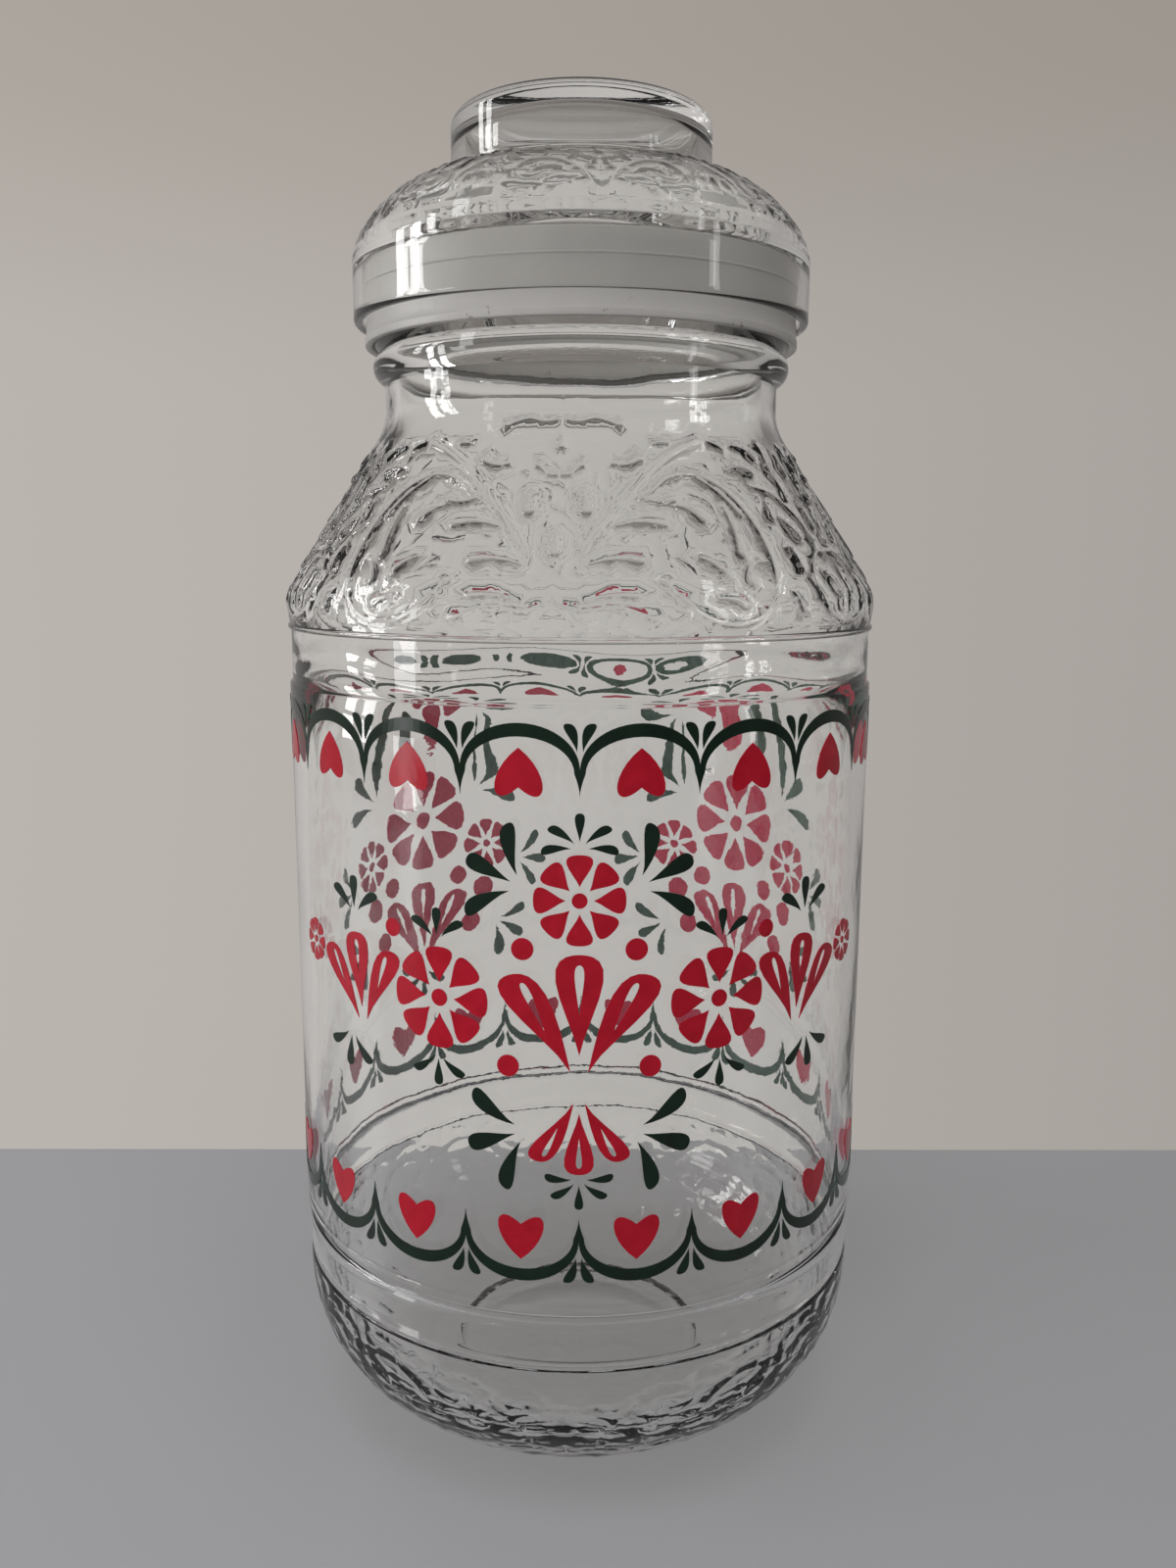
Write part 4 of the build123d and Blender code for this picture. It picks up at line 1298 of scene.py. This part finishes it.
@dataclass
class PrintMaker:
    """Draws every fired print. Lengths are in mm, and shares are of a motif's own size.

    A print is bent round the wall: x is a length round it from the front's middle, y a height.
    """

    wall: float = 84.8
    below: float = 0.1
    above: float = 0.17
    scallops: int = 18
    upper_tip_z: float = 195.34
    lower_tip_z: float = 87.26
    picture_middle: float = 141.3
    picture_height: float = 108.08
    bouquet_turn: float = 43.0
    side_points: int = 11
    heart_points: int = 18
    disc_points: int = 28
    petals: int = 8
    spray_turns: tuple[float, ...] = (-36, 0, 36)
    fan_turns: tuple[float, ...] = (-78, -39, 0, 39, 78)

    def cubic(self, pulls: tuple[Point, Point], end: Point, count: int) -> np.ndarray:
        """Sample a cubic curve from zero, closer together towards its end.

        At t it is 3 (1-t)^2 t of the first pull, 3 (1-t) t^2 of the second and t^3 of the end,
        and t is the sine of even steps up to a quarter turn.

        Args:
            pulls: its two middle control points.
            end: its last point.
            count: how many points.

        Returns:
            Rows of x and y.
        """
        t = np.sin(np.linspace(0, 1, count) * np.pi / 2)[:, None]
        first, second = (np.array(p) for p in pulls)
        return 3 * (1 - t) ** 2 * t * first + 3 * (1 - t) * t**2 * second + t**3 * np.array(end)

    def sides(self, length: float, width: float, bow: float) -> list[np.ndarray]:
        """Draw the sides of a brush stroke: cubics from its pointed root to its round head.

        Args:
            length: how far up its head reaches.
            width: of its head.
            bow: how far to the right its head lies.

        Returns:
            Its left side and its right.
        """
        made = []
        for side in (-1, 1):
            pulls = (side * 0.12 * width, 0.35 * length), (bow + side * 1.03 * width, length)
            made.append(self.cubic(pulls, (bow, length), self.side_points))
        return made

    def stroke(self, length: float, width: float, bow: float) -> Patch:
        """Draw a brush stroke: at each step along it a flat six-sided loop from side to side.

        Args:
            length: how far up its head reaches.
            width: of its head.
            bow: how far to the right its head lies.

        Returns:
            The stroke, its root at zero.
        """
        left, right = self.sides(length, width, bow)
        middle = (left + right) / 2
        rows = [np.zeros((1, 3))]
        for a, m, b in zip(left[1:-1], middle[1:-1], right[1:-1]):
            top, bottom = np.array([a, m, b]), np.array([b, m, a])
            rows.append(np.vstack([at_depth(top, self.above), at_depth(bottom, -self.below)]))
        rows.append(np.array([[bow, length, 0.0]]))
        return Patch(rows, True)

    def ring(self, hole: np.ndarray, outline: np.ndarray) -> Patch:
        """A flat ring: loops round its hole, round its outline, over the edge and back below."""
        top = [at_depth(hole, self.above), at_depth(outline, self.above)]
        return Patch([*top, at_depth(outline, -self.below), at_depth(hole, -self.below)], False)

    def spot(self, outline: np.ndarray, centre: Point) -> Patch:
        """Fill an outline with rings from its centre out, over its edge and back below.

        Args:
            outline: rows of x and y.
            centre: a place that sees all of it.

        Returns:
            The spot.
        """
        middle = np.array([centre])
        rows = [at_depth(middle, self.above)]
        for share, depth in ((0.5, self.above), (1, self.above), (1, -self.below), (0.5, -self.below)):
            rows.append(at_depth(middle + (outline - middle) * share, depth))
        return Patch([*rows, at_depth(middle, -self.below)], True)

    def slit_petal(self, length: float, width: float, bow: float) -> Patch:
        """Draw a stroke with a bare slit, which is a smaller stroke within it.

        Args:
            length: how far up its head reaches.
            width: of its head.
            bow: how far to the right its head lies.

        Returns:
            The petal, its root at zero.
        """
        slit = loop(*self.sides(0.5 * length, 0.2 * width, 0.2 * bow)) + (0.4 * bow, 0.4 * length)
        return self.ring(slit, loop(*self.sides(length, width, bow)))

    def heart(self, width: float, height: float) -> Patch:
        """Draw a heart on its tip: two cubics from the tip to the notch.

        Args:
            width: a measure of its lobes.
            height: of its lobes.

        Returns:
            The heart, its tip at zero.
        """
        pulls = (-0.68 * width, 0.5 * height), (-0.66 * width, 1.38 * height)
        left = self.cubic(pulls, (0.0, 0.81 * height), self.heart_points)
        return self.spot(loop(left, left * (-1, 1)), (0.0, 0.55 * height))

    def disc(self, radius: float) -> Patch:
        """A round spot."""
        angle = np.arange(self.disc_points) * 2 * np.pi / self.disc_points
        return self.spot(radius * np.stack([np.cos(angle), np.sin(angle)], 1), (0.0, 0.0))

    def motif(self, kind: Motif, size: float) -> list[Patch]:
        """Draw one motif about zero.

        Args:
            kind: what it is.
            size: its size in mm.

        Returns:
            Its patches.
        """
        reach = 0.3 * size
        if kind is Motif.BERRY:
            return [self.disc(size)]
        if kind is Motif.ROSETTE:
            blade = self.stroke(0.7 * size, 2 * size * math.sin(math.pi / self.petals) * 0.78, 0)
            petals = [blade.rayed(reach, 360 / self.petals * number) for number in range(self.petals)]
            return [*petals, self.disc(0.17 * size)]
        if kind is Motif.TULIP:
            made = [self.slit_petal(0.84 * size, 0.4 * size, 0).placed(0, 0.14 * size)]
            for side in (-1, 1):
                blade = self.slit_petal(0.92 * size, 0.34 * size, side * 0.2 * size)
                made.append(blade.placed(side * 0.07 * size, 0, -side * 20))
            return made
        turns = self.spray_turns if kind is Motif.SPRAY else self.fan_turns
        bows = [-math.copysign(0.3, turn) * size if turn else 0 for turn in turns]
        return [self.stroke(size, 0.36 * size, bow).rayed(reach, turn) for bow, turn in zip(bows, turns)]

    def picture(self, rows: tuple, views: tuple) -> list[Patch]:
        """Lay a table of motifs out, mirrored about its middle.

        Args:
            rows: the table.
            views: the angle of each copy's middle from the front, in degrees.

        Returns:
            The patches.
        """
        laid, tall = [], self.picture_height
        for kind, across, up, size, turn in rows:
            place = (across * tall, self.picture_middle + up * tall, turn)
            sides = (False, True) if across else (False,)
            for patch in self.motif(kind, size * tall):
                laid += [patch.placed(*place, mirrored) for mirrored in sides]
        return [patch.placed(math.radians(view) * self.wall, 0) for view in views for patch in laid]

    def garland(self, w: float, tip_z: float, upright: int) -> Patch:
        """Draw the scalloped band, between the arches' inner and outer lines, right round the wall.

        With x from -1 to 1 across a scallop, the inner line climbs from the cusp as a power of its
        height and then follows half an ellipse. The outer line is half an ellipse that starts at
        the fork.

        Args:
            w: width of one scallop.
            tip_z: height of the cusps.
            upright: 1 for arches that stand, -1 for arches that hang.

        Returns:
            The band.
        """
        half, leg_x, leg_y = w / 2, w / 2 - 0.045 * w, 0.19 * w
        crest, fork, rise = 0.49 * w, 0.22 * w, 0.6 * w
        climb = np.linspace(0, 1, 5)[:-1]
        angle = np.linspace(0, np.pi / 2, 11)
        inner_x = np.concatenate([-half + 0.045 * w * climb**1.7, -leg_x * np.cos(angle)])
        inner_y = np.concatenate([leg_y * climb, leg_y + (crest - leg_y) * np.sin(angle)])
        # The angle's power puts more of the outer line's points near the fork.
        angle = np.linspace(0, np.pi / 2, len(inner_x)) ** 1.15 / (np.pi / 2) ** 0.15
        outer_x, outer_y = -half * np.cos(angle), fork + (rise - fork) * np.sin(angle)
        middles = (np.arange(self.scallops)[:, None] + 0.5) * w
        lines = []
        for left in (np.column_stack([inner_x, inner_y]), np.column_stack([outer_x, outer_y])):
            x, y = loop(left, left * (-1, 1)).T
            height = tip_z + upright * np.tile(y, self.scallops)
            lines.append(np.column_stack([(x + middles).ravel(), height]))
        return self.ring(*lines)

    def border(self, tip_z: float, turn: int) -> tuple[list[Patch], list[Patch]]:
        """Draw one border: the garland, a pair of drops in each fork, and a heart under each arch.

        Args:
            tip_z: height of the garland's cusps.
            turn: 0 for arches that stand, 180 for arches that hang.

        Returns:
            The green patches, and the red ones.
        """
        # All sizes in it are shares of w, a scallop's width.
        w = 2 * np.pi * self.wall / self.scallops
        upright = 1 if turn == 0 else -1
        pair = []
        for side in (-1, 1):
            pair.append(self.stroke(0.23 * w, 0.1 * w, side * 0.075 * w).placed(side * 0.025 * w, 0.37 * w))
        heart = self.heart(0.4 * w, 0.4 * w).placed(0, 0.4 * w, 180)
        green, red = [self.garland(w, tip_z, upright)], []
        for number in range(self.scallops):
            green += [drop.placed(upright * number * w, tip_z, turn) for drop in pair]
            red.append(heart.placed(upright * (number + 0.5) * w, tip_z, turn))
        return green, red

    def joined(self, patches: list[Patch]) -> tuple[np.ndarray, np.ndarray]:
        """Join each patch's rows by faces: quads between two rows, triangles at a pole.

        Args:
            patches: the shapes.

        Returns:
            Rows of x, y and depth, and faces of four corners, the last -1 for a triangle.
        """
        points, faces, total = [], [], 0
        for patch in patches:
            starts = total + np.cumsum([0, *map(len, patch.rows)])
            total = int(starts[-1])
            points += patch.rows
            count = len(patch.rows)
            pairs = list(zip(range(count - 1), range(1, count))) + ([] if patch.poles else [(count - 1, 0)])
            for low, high in pairs:
                n = max(len(patch.rows[low]), len(patch.rows[high]))
                j = np.arange(n)
                k = (j + 1) % n
                first, last, none = starts[low], starts[high], np.full(n, -1)
                if len(patch.rows[low]) == 1:
                    corners = (np.full(n, first), last + k, last + j, none)
                elif len(patch.rows[high]) == 1:
                    corners = (first + j, first + k, np.full(n, last), none)
                else:
                    corners = (first + j, first + k, last + k, last + j)
                faces.append(np.stack(corners, 1))
        return np.vstack(points), np.vstack(faces)

    def piece(self, node: str, patches: list[Patch], finishes: list, slot: str) -> bpy.types.Object:
        """Bend patches round the wall into one mesh: angle = x / wall radius, radius = wall + depth.

        Args:
            node: the CAD layer that it stands for.
            patches: its shapes.
            finishes: the enamel's face, and its side on the glass.
            slot: not used.

        Returns:
            The piece, riding on the pot.
        """
        flat, faces = self.joined(patches)
        angle, radius = flat[:, 0] / self.wall, self.wall + flat[:, 2]
        bent = np.stack([radius * np.sin(angle), -radius * np.cos(angle), flat[:, 1]], 1)
        piece = mesh_object(node + "_print", bent, faces, finishes, np.zeros(len(faces), int))
        work = bmesh.new()
        work.from_mesh(piece.data)
        bmesh.ops.recalc_face_normals(work, faces=work.faces)
        for face in work.faces:
            middle = face.calc_center_median()
            # Faces towards the axis take the side on the glass, whose paler tone is painted light from
            # behind.
            face.material_index = int(face.normal.x * middle.x + face.normal.y * middle.y < 0)
            face.smooth = False
        work.to_mesh(piece.data)
        work.free()
        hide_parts(node)
        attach(piece, "jar")
        return piece

    def build(self, red: list, green: list) -> list[bpy.types.Object]:
        """Make all the prints.

        Args:
            red: the two red finishes.
            green: the two green finishes.

        Returns:
            The eight pieces.
        """
        upper, lower = self.border(self.upper_tip_z, 0), self.border(self.lower_tip_z, 180)
        back = (180 - self.bouquet_turn, 180 + self.bouquet_turn)
        plan = (
            ("upper_border_green", upper[0], green, "green_enamel"),
            ("upper_border_hearts", upper[1], red, "red_enamel"),
            ("lower_border_green", lower[0], green, "green_enamel"),
            ("lower_border_hearts", lower[1], red, "red_enamel"),
            ("front_flowers_red", self.picture(FRONT_RED, (0,)), red, "red_enamel"),
            ("front_leaves_green", self.picture(FRONT_GREEN, (0,)), green, "green_enamel"),
            ("back_flowers_red", self.picture(BACK_RED, back), red, "red_enamel"),
            ("back_leaves_green", self.picture(BACK_GREEN, back), green, "green_enamel"),
        )
        return [self.piece(*row) for row in plan]


# The studio


@dataclass(frozen=True)
class Lamp:
    """A rectangular lamp that faces the pot. Lengths in metres; a face of radiance 1 is white.

    A lamp that isn't mirrored lights the pot and leaves no reflection on it.
    """

    name: str
    place: tuple[float, float, float]
    size: Point
    radiance: float
    mirrored: bool

    def build(self, aim: Vector) -> None:
        """Put the lamp up.

        Args:
            aim: the place that it faces.
        """
        data = bpy.data.lights.new(self.name, "AREA")
        data.shape = "RECTANGLE"
        data.size, data.size_y = self.size
        data.energy = self.radiance * math.pi * self.size[0] * self.size[1]
        lamp = bpy.data.objects.new(self.name, data)
        bpy.context.scene.collection.objects.link(lamp)
        lamp.location = self.place
        lamp.rotation_euler = (aim - lamp.location).to_track_quat("-Z", "Y").to_euler()
        lamp.visible_camera = False
        lamp.visible_glossy = self.mirrored
        lamp.visible_transmission = self.mirrored


# The window has two by three panes with bars between.
PANES = [(side, row) for side in (-1, 1) for row in range(3)]
LAMPS = (
    *(
        Lamp(f"window_pane_{side}_{row}", (-1.15, 0.1 * side, 0.3 + 0.24 * row), (0.12, 0.2), 9.0, True)
        for side, row in PANES
    ),
    Lamp("low_strip", (-0.9, -0.4, 0.16), (0.16, 0.3), radiance=5.0, mirrored=True),
    Lamp("right_slit", (1.1, -0.5, 0.45), (0.07, 0.5), radiance=3.0, mirrored=True),
    Lamp("overhead_fill", (0.0, -0.2, 1.5), (1.0, 0.8), radiance=3.4, mirrored=False),
    Lamp("front_fill", (-0.4, -1.5, 0.7), (1.0, 0.8), radiance=4.6, mirrored=False),
)


@dataclass
class Studio:
    """A plain pale table top, an even pale surround, the lamps and the photograph's camera.

    Lengths are in metres and turns in degrees. The focal length is in pixels of the frame's
    height. The surround's brightness is middle + side_rise x + deep_rise y for a unit way (x, y, z),
    and it passes into its overhead tone from z low to z high.
    """

    floor_back: float = 0.135
    floor_front: float = -1.4
    floor_side: float = 1.5
    floor_colour: str = "#A6A7AB"
    grain_mm: float = 3.0
    grain_depth_mm: float = 0.05
    surround: str = "#B1ABA6"
    surround_top: str = "#A39C95"
    room: str = "#BCB9B6"
    mirrored: str = "#9A9795"
    overhead: str = "#7A7571"
    low: float = 0.1
    high: float = 0.36
    middle: float = 0.93
    side_rise: float = -0.28
    deep_rise: float = 0.1
    aim: tuple[float, float, float] = (0.0, 0.0, 0.2)
    eye: tuple[float, float, float] = (0.0, -0.3885, 0.252)
    tilt: float = 9.96
    yaw: float = -0.36
    roll: float = 0.22
    focal_px: float = 1323.0
    frame_px: float = 1600.0
    sensor_mm: float = 36.0

    def floor(self) -> None:
        """Lay a flat top that ends a little way behind the pot."""
        corners = [(-1, self.floor_front), (1, self.floor_front), (1, self.floor_back), (-1, self.floor_back)]
        points = np.array([(side * self.floor_side, deep, 0.0) for side, deep in corners]) / MM
        # Satin paint from a roller: to the eye an even pale sheen without a mirror image.
        material, tree = new_material("satin painted board, rolled")
        place = add_node(tree, "TexCoord").outputs["Object"]
        fine = {"Vector": place, "Scale": 1 / (self.grain_mm * MM), "Detail": 3.0}
        grain = add_node(tree, "TexNoise", inputs=fine)
        waves = {"Height": grain, "Strength": 0.2, "Distance": self.grain_depth_mm * MM}
        normal = add_node(tree, "Bump", inputs=waves)
        inputs = {"Base Color": linear(self.floor_colour), "Roughness": 0.42, "Normal": normal}
        shader = add_node(tree, "BsdfPrincipled", inputs=inputs)
        add_node(tree, "OutputMaterial", inputs={"Surface": shader})
        mesh_object("studio_floor", points, np.array([[0, 1, 2, 3]]), [material], np.zeros(1, int))

    def world(self) -> None:
        """Surround it all with a pale tone, darker high up, to the right, in front and in reflections."""
        world = bpy.data.worlds.new("pale studio surround")
        bpy.context.scene.world = world
        world.use_nodes = True
        tree = world.node_tree
        tree.nodes.clear()
        colour, line = {"data_type": "RGBA"}, {"operation": "MULTIPLY_ADD"}
        way = add_node(tree, "TexCoord").outputs["Generated"]
        split = add_node(tree, "SeparateXYZ", inputs={"Vector": way}).outputs
        smooth = {"interpolation_type": "SMOOTHSTEP"}
        climb = {"Value": split["Z"], "From Min": self.low, "From Max": self.high}
        high = add_node(tree, "MapRange", smooth, climb)
        tones = [
            add_node(tree, "Mix", colour, {"Factor": high, 6: linear(side), 7: linear(top)}).outputs[2]
            for side, top in ((self.room, self.overhead), (self.surround, self.surround_top))
        ]
        # A ray that was bent through glass is a glossy one too, but sees the room, not its mirrored tone.
        ray = add_node(tree, "LightPath").outputs
        both = {0: ray["Is Glossy Ray"], 1: ray["Is Transmission Ray"]}
        bounced = add_node(tree, "Math", {"operation": "SUBTRACT", "use_clamp": True}, both)
        tone = tones[0]
        for share, seen in ((bounced, linear(self.mirrored)), (ray["Is Camera Ray"], tones[1])):
            tone = add_node(tree, "Mix", colour, {"Factor": share, 6: tone, 7: seen}).outputs[2]
        sides = add_node(tree, "Math", line, {0: split["X"], 1: self.side_rise, 2: self.middle})
        bright = add_node(tree, "Math", line, {0: split["Y"], 1: self.deep_rise, 2: sides})
        light = add_node(tree, "Background", inputs={"Color": tone, "Strength": bright})
        add_node(tree, "OutputWorld", inputs={"Surface": light})

    def camera(self) -> None:
        """Stand the photograph's camera up, turned by its yaw, then its tilt, then its roll."""
        data = bpy.data.cameras.new("camera")
        data.sensor_fit = "AUTO"
        data.sensor_width = self.sensor_mm
        data.lens = self.focal_px * self.sensor_mm / self.frame_px
        data.clip_start = 0.01
        camera = bpy.data.objects.new("camera", data)
        bpy.context.scene.collection.objects.link(camera)
        place = Matrix.Translation(self.eye)
        for degrees, axis in ((self.yaw, "Z"), (90 - self.tilt, "X"), (self.roll, "Z")):
            place = place @ Matrix.Rotation(math.radians(degrees), 4, axis)
        camera.matrix_world = place
        bpy.context.scene.camera = camera

    def build(self) -> None:
        """Set the whole studio up."""
        self.floor()
        self.world()
        for lamp in LAMPS:
            lamp.build(Vector(self.aim))
        self.camera()
        bpy.context.scene.view_settings.view_transform = "Standard"


def main() -> None:
    """Build every sub-assembly in order and say what was made."""
    # Moulded outside: sharp lights and clear sight. The bore and the lid swim a little more. Each
    # has its ripple's width and depth in mm, and its grain's.
    glass, bore_glass, lid_glass = (
        PressedGlass(*row).make()
        for row in (
            ("soda-lime glass, moulded outside", 9.0, 0.02, 2.5, 0.002),
            ("soda-lime glass, blown bore", 7.0, 0.03, 1.6, 0.006),
            ("soda-lime glass, pressed lid", 8.0, 0.02, 2.0, 0.002),
        )
    )
    # Fired on: deep and glossy from outside. Seen through the glass it is mottled and painted paler, as
    # painted light shining through the enamel from behind.
    face, side = {"roughness": 0.2, "cloud_mm": 5.0}, {"roughness": 0.3, "cloud_mm": 1.1}
    red = [
        FiredEnamel("crimson enamel, fired", "#99001A", "#AD0A25", **face).make(),
        FiredEnamel("crimson enamel, side on the glass, painted backlight", "#98062A", "#BE3856", **side).make(),
    ]
    green = [
        FiredEnamel("dark green enamel, fired", "#04150C", "#082214", **face).make(),
        FiredEnamel("dark green enamel, side on the glass, painted backlight", "#0E2A1F", "#3D5B4D", **side).make(),
    ]
    # Milky: light comes through it as a blur.
    plastic = MilkyPolyethylene().make()
    made = [GlassPot().build(glass, bore_glass), *PrintMaker().build(red, green)]
    made += [SealCollar().build(plastic), GlassLid().build(lid_glass, lid_glass)]
    for piece in made:
        piece.data.calc_loop_triangles()
        log.info("%s: %d triangles", piece.name, len(piece.data.loop_triangles))
    Studio().build()


if __name__ == "__main__":
    main()
